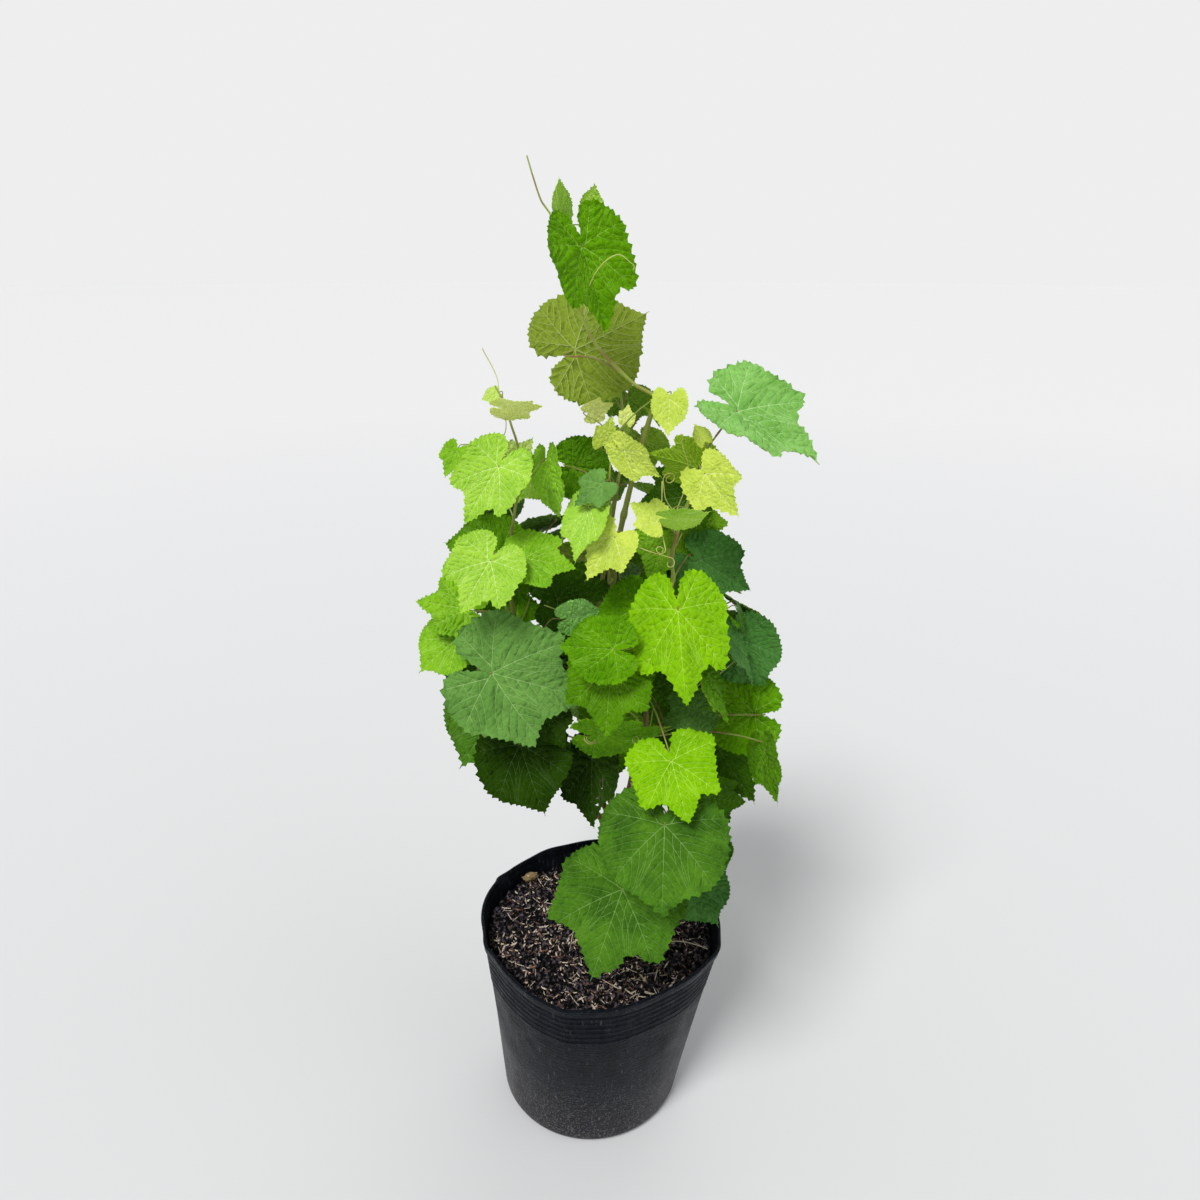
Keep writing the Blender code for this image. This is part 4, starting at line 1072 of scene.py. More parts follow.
def make_blade(variety, number):
    """One blade lying flat, a midrib long: a thin closed sheet and its veins."""
    rng = random.Random(variety.seed + 40)
    rim = make_rim(variety)
    outline = [(p.x, p.y) for p in rim]
    wall = tree_of_points([rim])
    mains, sides = make_veins(variety, outline)
    veins = tree_of_points(mains + sides)
    places = [p.copy() for p in rim]
    for path in mains + sides:
        places += [p for p in path if wall.find(p)[2] > 0.4 * variety.grid]
    for row in range(int(FIELD / (variety.grid * ROW))):
        for column in range(int(FIELD / variety.grid)):
            shift = 0.5 * (row % 2)
            x = FIELD_CORNER[0] + (column + shift) * variety.grid
            x += rng.uniform(-0.1, 0.1) * variety.grid
            y = FIELD_CORNER[1] + row * variety.grid * ROW
            place = Vector((x, y, 0.0))
            off_vein = veins.find(place)[2] > OFF_VEIN * variety.grid
            if off_vein and wall.find(place)[2] > OFF_RIM * variety.grid and covers(outline, x, y):
                places.append(place)
    edges = [(i, (i + 1) % len(rim)) for i in range(len(rim))]
    flat = geometry.delaunay_2d_cdt([p.xy for p in places], edges, [], 1, 1e-5)
    verts, faces = flat[0], flat[2]

    def eaten(face):
        middle = sum((verts[i] for i in face), Vector((0.0, 0.0))) / 3
        return any((middle - Vector((x, y))).length < radius for x, y, radius in variety.bites)

    bm = bmesh.new()
    parts = bm.faces.layers.int.new("part")
    heights = [relief(veins, vert.to_3d()) for vert in verts]
    top, below = (
        [bm.verts.new((vert.x, vert.y, height + lift)) for vert, height in zip(verts, heights)]
        for lift in (THICK / 2, -THICK / 2))
    open_edges = {}
    for a, b, c in (face for face in faces if not eaten(face)):
        if (verts[b] - verts[a]).cross(verts[c] - verts[a]) < 0:
            a, b, c = c, b, a
        bm.faces.new((top[a], top[b], top[c]))[parts] = 0
        bm.faces.new((below[c], below[b], below[a]))[parts] = 1
        for i, j in ((a, b), (b, c), (c, a)):
            open_edges[(i, j)] = (j, i) not in open_edges
            if (j, i) in open_edges:
                open_edges[(j, i)] = False
    for (i, j), is_open in open_edges.items():
        if is_open:
            bm.faces.new((top[j], top[i], below[i], below[j]))[parts] = 1
    bmesh.ops.delete(bm, geom=[v for v in bm.verts if not v.link_faces], context="VERTS")
    for path in mains:
        add_vein(bm, veins, path, MAIN_VEIN, SIDE_VEIN * MAIN_TIP, parts)
    for path in sides:
        thin = path[::2] + ([path[-1]] if len(path) % 2 == 0 else [])
        add_vein(bm, veins, thin, SIDE_VEIN, SIDE_VEIN * SIDE_TIP, parts)
    mesh = bpy.data.meshes.new("blade_{}".format(number))
    for face in bm.faces:
        face.smooth = True
    for edge in bm.edges:
        edge.smooth = len(edge.link_faces) != 2 or edge.calc_face_angle(0.0) <= SHARP
    bm.to_mesh(mesh)
    bm.free()
    stored = mesh.attributes.new("blade", "FLOAT_VECTOR", "POINT")
    stored.data.foreach_set("vector", [c for vert in mesh.vertices for c in vert.co])
    return bpy.data.objects.new(mesh.name, mesh)


# ---------------------------------------------------------------- leaves on the plant

WAVE = 0.18                   # how far a blade's rim waves, in shares of its midrib
WAVE_SCALE = 1.5
WAVE_REACH = 0.8              # the waves stop growing here


def make_leaf_tree(materials):
    """Sets a blade on each point, bends it by that leaf's own folds and waves, and gives its
    upper face, underside and veins the materials of the leaf's tone."""
    tree, add, given = new_tree("grow_leaves", {
        "Blades": "Collection", "Droop": "Float", "Wave": "Float"})
    (rib, side, face, centre, blade), (size, fold, wide, seed), (variety, tone, part) = (
        [add(ATTRIBUTE, {"Name": name}, data_type=kind) for name in names]
        for kind, names in (
            ("FLOAT_VECTOR", ("rib", "side", "face", "place", "blade")),
            ("FLOAT", ("size", "fold", "wide", "seed")),
            ("INT", ("variety", "tone", "part"))))
    source = add("GeometryNodeCollectionInfo", {
        "Collection": given["Blades"], "Separate Children": True, "Reset Children": True})
    set_out = add("GeometryNodeInstanceOnPoints", {
        "Points": given["Geometry"], "Instance": source, "Pick Instance": True,
        "Instance Index": variety})
    leaves = add("GeometryNodeRealizeInstances", [set_out])
    x, flat_y, height = add(AXES, [blade]).node.outputs
    y = add(MATH, [flat_y, wide], operation="MULTIPLY")
    square_x = add(MATH, [x, x], operation="MULTIPLY")
    square_y = add(MATH, [y, y], operation="MULTIPLY")
    bend = add(MATH, [square_y, 0.5, square_x], operation="MULTIPLY_ADD")
    sag = add(MATH, [bend, given["Droop"]], operation="MULTIPLY")
    apart = add(MATH, [y], operation="ABSOLUTE")
    lift = add(MATH, [apart, fold], operation="MULTIPLY")
    spot = add("ShaderNodeCombineXYZ", [x, y, seed])
    waves = add(NOISE, {"Vector": spot, "Scale": WAVE_SCALE, "Detail": 2.0})
    centred = add(MATH, [waves, 0.5], operation="SUBTRACT")
    far = add(MATH, [square_y, 2.0, square_x], operation="MULTIPLY_ADD")
    reach = add(MATH, [far, WAVE_REACH], operation="MINIMUM")
    high = add(MATH, [reach, given["Wave"]], operation="MULTIPLY")
    raised = add(MATH, [height, lift])
    sagged = add(MATH, [raised, sag], operation="SUBTRACT")
    up = add(MATH, [centred, high, sagged], operation="MULTIPLY_ADD")
    bent = (0.0, 0.0, 0.0)
    for axis, far_along in ((rib, x), (side, y), (face, up)):
        arm = add(VECTOR, {0: axis, "Scale": far_along}, operation="SCALE")
        bent = add(VECTOR, [bent, arm])
    sized = add(VECTOR, {0: bent, "Scale": size}, operation="SCALE")
    shaped = add("GeometryNodeSetPosition", {
        "Geometry": leaves, "Position": add(VECTOR, [centre, sized])})
    pairs = []
    for i, name in enumerate(TONE_NAMES):
        own = add(COMPARE, {2: tone, 3: i}, data_type="INT", operation="EQUAL")
        for j, material in enumerate(materials[name]):
            piece = add(COMPARE, {2: part, 3: j}, data_type="INT", operation="EQUAL")
            pairs.append((material, add("FunctionNodeBooleanMath", [own, piece])))
    end_tree(add, shaped, pairs)
    return tree


def leaf_points(name, leaves):
    """One point a leaf, which carries what its blade needs."""
    mesh = bpy.data.meshes.new(name)
    mesh.from_pydata([found[1].translation for found in leaves], [], [])
    rng = random.Random(name + " blades")
    rows = []
    for leaf, frame, scale, path in leaves:
        row = {axis: frame.col[i].xyz for i, axis in enumerate(("rib", "side", "face", "place"))}
        row.update(size=leaf.size * CM * scale, fold=leaf.fold, wide=leaf.wide)
        row["seed"] = rng.uniform(0.0, 50.0)
        shape = leaf.shape or rng.choice(YOUNG_SHAPES if leaf.size < YOUNG else GROWN_SHAPES)
        row["variety"] = rng.choice([i for i, kind in enumerate(VARIETIES) if kind.shape == shape])
        row["tone"] = TONE_NAMES.index(leaf.tone)
        rows.append(row)
    for key, value in rows[0].items():
        vector = isinstance(value, Vector)
        kind = "FLOAT_VECTOR" if vector else "INT" if key in ("variety", "tone") else "FLOAT"
        for point, row in zip(mesh.attributes.new(key, kind, "POINT").data, rows):
            setattr(point, "vector" if vector else "value", row[key])
    return link_object(name, mesh)


# ---------------------------------------------------------------- limbs and tendrils

def limb_curve(name, limbs):
    """One curve object of many limbs, each a route and its radii."""
    curve = bpy.data.curves.new(name, "CURVE")
    curve.dimensions = "3D"
    for route, radii in limbs:
        spline = curve.splines.new("POLY")
        spline.points.add(len(route) - 1)
        for point, place, radius in zip(spline.points, route, radii):
            point.co = (*place, 1.0)
            point.radius = radius
    return link_object(name, curve)


def make_skin_tree(name, material):
    """Skins every limb of a curve by its own radii, and roughens it by its bark's relief."""
    tree, add, given = new_tree(name, {"Sides": "Int", "Relief": "Float", "Grain": "Float"})
    ring = add("GeometryNodeCurvePrimitiveCircle", {"Resolution": given["Sides"], "Radius": 1.0})
    skin = add("GeometryNodeCurveToMesh", {
        "Curve": given["Geometry"], "Profile Curve": ring,
        "Scale": add("GeometryNodeInputRadius"), "Fill Caps": True})
    drawn_out = add(VECTOR, [
        add("GeometryNodeInputPosition"), (1.0, 1.0, 0.2)], operation="MULTIPLY")
    grain = add(NOISE, {"Vector": drawn_out, "Scale": given["Grain"], "Detail": 3.0})
    centred = add(MATH, [grain, 0.5], operation="SUBTRACT")
    height = add(MATH, [centred, given["Relief"]], operation="MULTIPLY")
    offset = add(VECTOR, {
        0: add("GeometryNodeInputNormal"), "Scale": height}, operation="SCALE")
    rough = add("GeometryNodeSetPosition", {"Geometry": skin, "Offset": offset})
    end_tree(add, add("GeometryNodeSetShadeSmooth", [rough]), [(material, True)])
    return tree


def swollen(route, radii, joints, more, reach):
    """The radii with a joint swollen at each place where a stalk leaves."""
    swelled = []
    for place, radius in zip(route, radii):
        apart = min(((place - joint).length for joint in joints), default=1.0)
        swelled.append(radius * (1.0 + more * math.exp(-(apart / reach) ** 2)))
    return swelled


# A stalk swells at both ends: how much, at what share of its length, over what share of it.
STALK_ENDS = ((1.0, 0.0, 0.1), (0.35, 0.93, 0.07))
STALK_SWELL = 0.55
STALK_THIN = 0.85             # the middle of a fine stalk, as a share of its solid
STALK_LEAST = 0.45            # stalks get thinner than that with leaves under about 6 cm
FULL_LEAF = 11.0


def stalk_limb(leaf, frame, scale, path):
    """A leaf's stalk, rooted in its shoot, which runs on under the blade to its veins."""
    hub = frame @ Vector((0.0, 0.0, -0.5 * MM))
    route = smooth_route([*path[:3], hub], 6)
    radii = []
    for i in range(len(route)):
        share = i / (len(route) - 1)
        ends = sum(
            swell * math.exp(-((share - at) / reach) ** 2) for swell, at, reach in STALK_ENDS)
        solid = STALK_FOOT + (STALK_TIP - STALK_FOOT) * share
        radii.append(solid * (STALK_THIN + STALK_SWELL * ends))
    size = min(1.0, STALK_LEAST + leaf.size / FULL_LEAF)
    return route, [radius * size for radius in radii]


# A tendril: points as read from the front, the radius of its coil in mm, and its turns.
Tendril = namedtuple("Tendril", "points coil turns")
TENDRILS = [
    Tendril([(-1.4, 90.4, -1.5), (-0.6, 93.5, -4.5), (1.4, 95.3, -5.5), (2.9, 94.5, -5.0)], 3, 0.3),
    Tendril([(5.9, 75.3, -1.5), (6.0, 70.5, -3.5), (6.4, 68.5, -5.0)], 5, 1.2),
    Tendril([(7.4, 72.0, -1.5), (6.3, 73.5, -3.0), (6.0, 75.4, -3.5)], 6, 1.3),
    Tendril([(1.0, 70.5, -2.5), (4.0, 68.6, -4.5), (7.0, 67.6, -5.5)], 5, 0.8),
    Tendril([(7.4, 72.5, -1.5), (8.4, 76.0, -2.5), (7.6, 79.0, -3.0)], 3, 0.6),
    Tendril([(-10.6, 87.5, 0.0), (-9.4, 85.0, 0.0), (-9.2, 83.2, 0.0)], 2, 0.3),
    Tendril([(-10.2, 78.5, -0.5), (-8.8, 80.0, -1.0), (-8.9, 82.6, -0.5)], 3, 0.8),
    Tendril([(0.8, 49.0, -4.5), (0.4, 47.6, -6.0), (-0.4, 46.8, -6.5)], 9, 2.0),
    Tendril([(-5.6, 62.6, -1.5), (-3.0, 61.6, -2.5), (-0.6, 61.0, -2.0)], 3, 0.5),
    Tendril([(5.6, 51.0, -3.5), (5.2, 48.5, -6.0), (4.2, 46.8, -7.0)], 5, 1.0),
    Tendril([(9.5, 51.5, 0.0), (11.5, 54.0, 0.0), (14.0, 56.5, 0.5)], 3, 0.4),
]
TENDRIL_RADIUS = 0.55 * MM
TENDRIL_TIP = 0.45            # its radius at the end, as a share
COIL_STEPS = 16               # points in a turn
COIL_TIGHTER = 0.55
COIL_FACING = Vector((0.25, -1.0, 0.1))   # coils lie across this direction
COIL_PITCH = 2.0 * MM
JOINT_SPACING = 62 * MM       # between the joints of a cane
SHOOT_JOINT = (0.45, 4 * MM)  # how much thicker, as a share, and over what length
CANE_JOINT = (0.35, 5 * MM)
STRAW_RADII = (0.7 * MM, 0.45 * MM)
# A fine shoot is this much thinner than its solid, at its foot and at its tip.
FINE_FOOT = 0.85
FINE_TIP = 0.6


def tendril_limb(tendril):
    """A tendril that ends in a loose coil, each turn tighter than the last."""
    route = smooth_route([sighted(*point) for point in tendril.points], 8)
    heading = (route[-1] - route[-2]).normalized()
    inward = heading.cross(COIL_FACING).normalized()
    steps = round(COIL_STEPS * tendril.turns)
    centre = route[-1] + inward * tendril.coil * MM
    for i in range(1, steps + 1):
        turn = 2 * math.pi * tendril.turns * i / steps
        shrink = 1.0 - COIL_TIGHTER * i / steps
        arm = (-inward * math.cos(turn) + heading * math.sin(turn)) * tendril.coil * MM * shrink
        route.append(centre + arm + Vector((0.0, -COIL_PITCH, 0.0)) * i / COIL_STEPS)
    return route, taper(len(route), TENDRIL_RADIUS, TENDRIL_RADIUS * TENDRIL_TIP)


# ---------------------------------------------------------------- trunk

TRUNK_RINGS = 110
TRUNK_SIDES = 56
TRUNK_UP = 0.002              # the foot stands this far above the mix's level, on its heaved top
ROOT_COUNT = 3
ROOT_TURN = 0.6
KNOB = (0.10, 0.93, 0.06)     # the head swells this much, at this share of the height, over this
FLARE_FALL = 5                # powers by which the foot's flare and the roots die away upwards
ROOT_FALL = 4
# The bark's relief: mm that it stands out, its waves round the trunk and up it, their start.
BARK_FIBRE = (0.9, 5.0, 3.0, 4.0)
BARK_STRIP = (0.55, 14.0, 7.0, 0.0)
BARK_KNOB = (0.5, 90.0)       # mm, and waves per metre
BARK_SUNK = 0.5               # mm that all of it lies further in
HEAD_DOME = 1.2 * MM


def make_trunk(material):
    """The trunk with split, fibrous bark, a root flare and a knobbly head."""
    foot = Vector((LEAN_X + TRUNK_X, TRUNK_Y, SOIL_LEVEL + TRUNK_UP))
    head = Vector((LEAN_X + HEAD_X, 0.0, HEAD_HEIGHT))
    bm = bmesh.new()
    rings = []
    for level in range(TRUNK_RINGS + 1):
        share = level / TRUNK_RINGS
        middle = math.sin(math.pi * share)
        centre = foot.lerp(head, share) + TRUNK_BOW * middle
        base = TRUNK_RADIUS + (TRUNK_FOOT - TRUNK_RADIUS) * (1.0 - share) ** FLARE_FALL
        base *= 1.0 - TRUNK_WAIST * middle
        base *= 1.0 + KNOB[0] * math.exp(-((share - KNOB[1]) / KNOB[2]) ** 2)
        ring = []
        for side in range(TRUNK_SIDES):
            turn = 2 * math.pi * side / TRUNK_SIDES
            out = Vector((math.cos(turn), math.sin(turn), 0.0))
            roots = (1.0 - share) ** ROOT_FALL * math.cos(ROOT_COUNT * turn + ROOT_TURN)
            radius = base * (1.0 + ROOT_LOBES * roots)
            fibre, strip = (
                noise.noise(Vector((out.x * around, out.y * around, share * along + start)))
                for high, around, along, start in (BARK_FIBRE, BARK_STRIP))
            knob = noise.noise((centre + out * radius) * BARK_KNOB[1])
            high = BARK_FIBRE[0] * fibre + BARK_STRIP[0] * abs(strip) + BARK_KNOB[0] * knob
            radius += (high - BARK_SUNK) * MM
            ring.append(bm.verts.new(centre + out * radius))
        rings.append(ring)
    for low, high in zip(rings, rings[1:]):
        bridge(bm, low, high)
    top = head + UP * HEAD_DOME
    for ring, middle, turned_up in ((rings[0], foot, False), (rings[-1], top, True)):
        hub = bm.verts.new(middle)
        for i in range(TRUNK_SIDES):
            pair = (ring[i], ring[(i + 1) % TRUNK_SIDES])
            bm.faces.new((hub, *pair) if turned_up else (hub, *pair[::-1]))
    return finish_mesh("trunk_bark", bm, material)


# ---------------------------------------------------------------- pot and potting mix

POT_STEPS = 288
BASE_STEPS = 6                # of the round at the foot
WALL_STEP = 0.006
INNER_STEP = 0.008
RIDGES = 6                    # fine raised rings below the rim
RIDGE_TOP = POT_HEIGHT - 0.017
RIDGE_SPACING = 0.0082
RIDGE_PROUD = 0.0006
RIDGE_HALF = 0.0006
# A ridge in steps up the wall, in shares of its half height and of how proud it stands.
RIDGE_SHAPE = [
    (-3.2, 0), (-1.8, 0), (-0.8, 0.7), (0.2, 1), (1.0, 0.5), (1.8, 0), (3.4, 0), (6.8, 0),
]
# Soft corners and dents of the wall: turn in degrees, spread in degrees, proud in mm.
CORNERS = [
    (-105, 6, 3.0), (-22, 6, 3.4), (200, 6, 4.2), (-64, 17, -2.0), (228, 12, -2.2), (40, 9, 2.4),
    (120, 8, 2.6),
]
SWELL = (1.6, 2.2, 9.0)       # mm that the wall wanders, its waves round it, and per metre up
SAG = (1.2, 3.0, 7.0)         # mm that the lip wanders up and down, its waves, and their level
SAG_RISE = 6                  # power by which the sag grows with height
PAINTED_HOLES = [(-35.6, 0.216), (217.4, 0.191), (95.0, 0.205)]     # painted on the wall's skin as dark discs, not cut: turn, height
PAINTED_HOLE_RADIUS = 0.0024
FLAP_TURN = math.radians(152)  # a snag where the lip is turned out
FLAP_SPREAD = math.radians(3.2)
FLAP_OUT = 0.0045
FLAP_DOWN = 0.0025
SOFT_FROM = 0.08              # the middle of the underside, inside this radius, stays flat


def wall_profile():
    """The pot's wall from the middle of its underside, out, up, over the lip and back in."""
    points = [(0.0, 0.0), (0.5 * BASE_RADIUS, 0.0), (BASE_RADIUS - BASE_ROUND, 0.0)]
    for i in range(1, BASE_STEPS):
        turn = math.pi / 2 * i / BASE_STEPS
        points.append((
            BASE_RADIUS - BASE_ROUND * (1.0 - math.sin(turn)), BASE_ROUND * (1.0 - math.cos(turn))))
    z = BASE_ROUND
    lowest_ridge = RIDGE_TOP - RIDGE_SPACING * (RIDGES - 1)
    while z < lowest_ridge - WALL_STEP:
        points.append((wall_radius(z), z))
        z += WALL_STEP
    for i in range(RIDGES):
        middle = lowest_ridge + RIDGE_SPACING * i
        for step, proud in RIDGE_SHAPE:
            level = middle + step * RIDGE_HALF
            points.append((wall_radius(level) + proud * RIDGE_PROUD, level))
    lip = POT_HEIGHT - LIP_FALL
    points += [
        (wall_radius(lip) + 0.2 * MM, lip),
        (wall_radius(lip) + LIP_PROUD * 0.8, lip + 0.0008),
        (wall_radius(lip) + LIP_PROUD, lip + 0.0022),
        (wall_radius(lip + 0.005) + LIP_PROUD * 0.85, lip + 0.005),
        (RIM_RADIUS + LIP_PROUD * 0.9, POT_HEIGHT - 0.0012),
        (RIM_RADIUS + LIP_PROUD * 0.6, POT_HEIGHT - 0.0002),
        (RIM_RADIUS, POT_HEIGHT),
        (RIM_RADIUS - WALL * 0.8, POT_HEIGHT - 0.0003),
        (RIM_RADIUS - WALL, POT_HEIGHT - 0.0014),
    ]
    z = POT_HEIGHT - WALL_STEP
    while z > BASE_ROUND:
        points.append((wall_radius(z) - WALL, z))
        z -= INNER_STEP
    points += [(BASE_RADIUS - BASE_ROUND, WALL), (0.5 * BASE_RADIUS, WALL), (0.0, WALL)]
    return points


def soft_wall(co):
    """The pot's soft shape with its corners, dents, sags and the snag in its lip."""
    turn = math.atan2(co.y, co.x)
    share = co.z / POT_HEIGHT
    out = Vector((math.cos(turn), math.sin(turn), 0.0))
    proud = 0.0
    for corner, wide, height in CORNERS:
        apart = math.remainder(turn - math.radians(corner), 2 * math.pi) / math.radians(wide)
        proud += height * MM * math.exp(-apart * apart) * share ** 2
    high, around, along = SWELL
    proud += high * MM * share * noise.noise(Vector((out.x * around, out.y * around, co.z * along)))
    snag = math.remainder(turn - FLAP_TURN, 2 * math.pi) / FLAP_SPREAD
    near_lip = max(0.0, (co.z - POT_HEIGHT + LIP_FALL) / LIP_FALL)
    flap = math.exp(-snag * snag) * near_lip ** 2
    proud += FLAP_OUT * flap
    high, around, level = SAG
    sag = high * MM * share ** SAG_RISE
    sag *= noise.noise(Vector((out.x * around, out.y * around, level)))
    outer = min(1.0, co.xy.length / SOFT_FROM)
    return soft_shape(co + out * proud * outer + UP * (sag - FLAP_DOWN * flap))


def turned(profile, steps, shape):
    """A closed turned mesh from (radius, height) points that start and end on the axis."""
    bm = bmesh.new()
    rings = []
    for radius, z in profile:
        if radius == 0.0:
            rings.append([bm.verts.new(shape(Vector((0.0, 0.0, z))))])
            continue
        ring = []
        for i in range(steps):
            turn = 2 * math.pi * i / steps
            place = Vector((math.cos(turn) * radius, math.sin(turn) * radius, z))
            ring.append(bm.verts.new(shape(place)))
        rings.append(ring)
    for a, b in zip(rings, rings[1:]):
        if len(a) == len(b):
            bridge(bm, a, b)
            continue
        for i in range(steps):
            j = (i + 1) % steps
            bm.faces.new((a[0], b[j], b[i]) if len(a) == 1 else (a[i], a[j], b[0]))
    return bm


SOIL_STEPS = 340
SOIL_RINGS = 92
SOIL_GAP = 0.0012
HEAP_PLACE = Vector((-0.078, 0.066))    # a low heap in the mix
HEAP_HIGH = 0.003
HEAP_WIDE = 0.030
# The mix's top: waves per metre, and height in mm, of its heaves, crumbs and grit.
HEAVES = (80.0, 3.4)
CRUMBS = (150.0, 9.0)
GRIT = (330.0, 1.8)
CRUMBS_UP = 0.0018            # lifts the top again to its level
SOIL_WALLS = 8                # rings of the mix's side
SOIL_SIDE_GAP = 0.0005


def soil_surface(co):
    """Heaves the top of the mix into crumbs, and leaves its walls alone."""
    place = soft_shape(co)
    if co.z > SOIL_LEVEL - 0.001:
        rough = noise.fractal(place * HEAVES[0], 0.7, 2.1, 4) * HEAVES[1] * MM
        crumbs = abs(noise.noise(place * CRUMBS[0])) * CRUMBS[1] * MM
        crumbs += noise.noise(place * GRIT[0]) * GRIT[1] * MM
        heap = HEAP_HIGH * math.exp(-((place.xy - HEAP_PLACE).length / HEAP_WIDE) ** 2)
        place.z += rough - crumbs + CRUMBS_UP + heap
    return place


def make_soil(material):
    """The mix in the pot, with a note of how far in from the wall its top lies at each point,
    for the litter that is strewn on it."""
    floor = WALL + CLEAR
    room = WALL + SOIL_GAP
    profile = [(0.0, floor), (BASE_RADIUS - BASE_ROUND - 0.001, floor)]
    for i in range(SOIL_WALLS + 1):
        z = BASE_ROUND + CLEAR + (SOIL_LEVEL - BASE_ROUND - 0.003) * i / SOIL_WALLS
        profile.append((wall_radius(z) - room - SOIL_SIDE_GAP, z))
    below = len(profile) - 1
    edge = wall_radius(SOIL_LEVEL) - room - SOIL_SIDE_GAP
    profile += [(edge * (1.0 - i / SOIL_RINGS), SOIL_LEVEL) for i in range(SOIL_RINGS)]
    profile.append((0.0, SOIL_LEVEL))
    made = finish_mesh("potting_mix", turned(profile, SOIL_STEPS, soil_surface), material)
    inset = made.data.attributes.new("inset", "FLOAT", "POINT")
    for i, point in enumerate(inset.data):
        point.value = max(0, (i - 1) // SOIL_STEPS - below) * edge / SOIL_RINGS
    return made


CHIP_RINGS = 5
CHIP_BEND = 0.15
CHIP_ENDS = 0.25              # its ends stay this wide, as a share
CHIP_SPAN = (0.08, 0.84)      # how far in it starts on a half wave of width, and how far it runs
CHIP_RAGGED = (0.7, 1.1)      # the least and most that its width and its lift vary by
CHIP_WARP = (0.4, 1.4)
CHIP_KEEL = 0.6               # how thick it is below its edges, against above them


def chip_shape(name, length, width, thick, seed):
    """A splinter of husk or bark: a bent, ragged sliver."""
    rng = random.Random(seed)
    bm = bmesh.new()
    rings = []
    for i in range(CHIP_RINGS):
        share = i / (CHIP_RINGS - 1)
        wave = math.sin(math.pi * (CHIP_SPAN[0] + CHIP_SPAN[1] * share))
        wide = width * (CHIP_ENDS + wave) * rng.uniform(*CHIP_RAGGED)
        x = length * (share - 0.5)
        lift = thick * rng.uniform(*CHIP_WARP) + CHIP_BEND * length * (share - 0.5) ** 2
        rings.append([
            bm.verts.new((x, -wide / 2, lift)), bm.verts.new((x, 0.0, lift + thick)),
            bm.verts.new((x, wide / 2, lift)), bm.verts.new((x, 0.0, lift - thick * CHIP_KEEL)),
        ])
    for a, b in zip(rings, rings[1:]):
        for i in range(4):
            j = (i + 1) % 4
            bm.faces.new((a[i], b[i], b[j], a[j]))
    bm.faces.new(rings[0])
    bm.faces.new(rings[-1][::-1])
    bmesh.ops.recalc_face_normals(bm, faces=bm.faces)
    mesh = bpy.data.meshes.new(name)
    bm.to_mesh(mesh)
    bm.free()
    return bpy.data.objects.new(name, mesh)


# Litter on the mix: length, width, thickness in mm.
CHIPS = [(6.0, 1.7, 0.7), (4.2, 1.6, 0.8), (8.4, 1.4, 0.6), (2.8, 1.9, 1.0)]
FIBRES = [(11, 0.9, 0.4), (18, 0.8, 0.4), (7, 1.2, 0.5)]
LITTER_INSET = 0.003          # litter keeps this far inside the wall
LITTER_ROOM = 0.0015          # and lies only where it has this much room beyond that
LITTER_DEEP = 0.012           # none lies further below the mix's level
LITTER_LEVEL = 0.3            # nor where the mix is so steep that its normal rises less than this
DRIFT_MM = 34                 # litter gathers in drifts of this size
DRIFT_FADE = (0.38, 0.62, 0.15, 1.0)      # from and to in the drifts' noise, and how dense there
LITTER_TURNS = ((-0.25, -0.25, 0.0), (0.25, 0.25, 6.28))     # each piece's least and most


def make_litter_tree(shapes, materials):
    """Strews chips over the top of the mix, each lying its own way and in its own size."""
    tree, add, given = new_tree("strew_litter", {
        "Density": "Float", "Seed": "Int", "Smallest": "Float", "Largest": "Float",
        "Reach": "Float"})
    place = add("GeometryNodeInputPosition")
    inset = add(ATTRIBUTE, {"Name": "inset"}, data_type="FLOAT")
    room = add(MATH, [inset, LITTER_INSET], operation="SUBTRACT")
    chosen = True
    for value, least in (
        (add(AXES, [add("GeometryNodeInputNormal")], "Z"), LITTER_LEVEL),
        (add(AXES, [place], "Z"), SOIL_LEVEL - LITTER_DEEP),
        (room, LITTER_ROOM),
    ):
        enough = add(COMPARE, [value, least], operation="GREATER_THAN")
        chosen = add("FunctionNodeBooleanMath", [chosen, enough])
    drifts = add(NOISE, {"Vector": place, "Scale": 1 / (DRIFT_MM * MM), "Detail": 2.0})
    density = add(MATH, [
        given["Density"], add(RANGE, [drifts, *DRIFT_FADE])], operation="MULTIPLY")
    spots = add("GeometryNodeDistributePointsOnFaces", {
        "Mesh": given["Geometry"], "Selection": chosen, "Density": density, "Seed": given["Seed"]})
    source = add("GeometryNodeCollectionInfo", {
        "Collection": shapes, "Separate Children": True, "Reset Children": True})
    turn = add(RANDOM, {
        0: LITTER_TURNS[0], 1: LITTER_TURNS[1], "Seed": given["Seed"],
    }, data_type="FLOAT_VECTOR")
    wanted = add(RANDOM, {
        2: given["Smallest"], 3: given["Largest"], "Seed": given["Seed"]}, 1, data_type="FLOAT")
    fitting = add(MATH, [room, given["Reach"]], operation="DIVIDE")
    strewn = add("GeometryNodeInstanceOnPoints", {
        "Points": spots, "Instance": source, "Pick Instance": True, "Rotation": turn,
        "Scale": add(MATH, [wanted, fitting], operation="MINIMUM")})
    kinds = add(RANDOM, {4: 0, 5: len(materials) - 1, "Seed": 9}, 2, data_type="INT")
    stored = add("GeometryNodeStoreNamedAttribute", {
        "Geometry": strewn, "Name": "kind", "Value": kinds}, data_type="INT", domain="INSTANCE")
    kind = add(ATTRIBUTE, {"Name": "kind"}, data_type="INT")
    end_tree(add, stored, [
        (material, add(COMPARE, {2: kind, 3: i}, data_type="INT", operation="EQUAL"))
        for i, material in enumerate(materials)])
    return tree


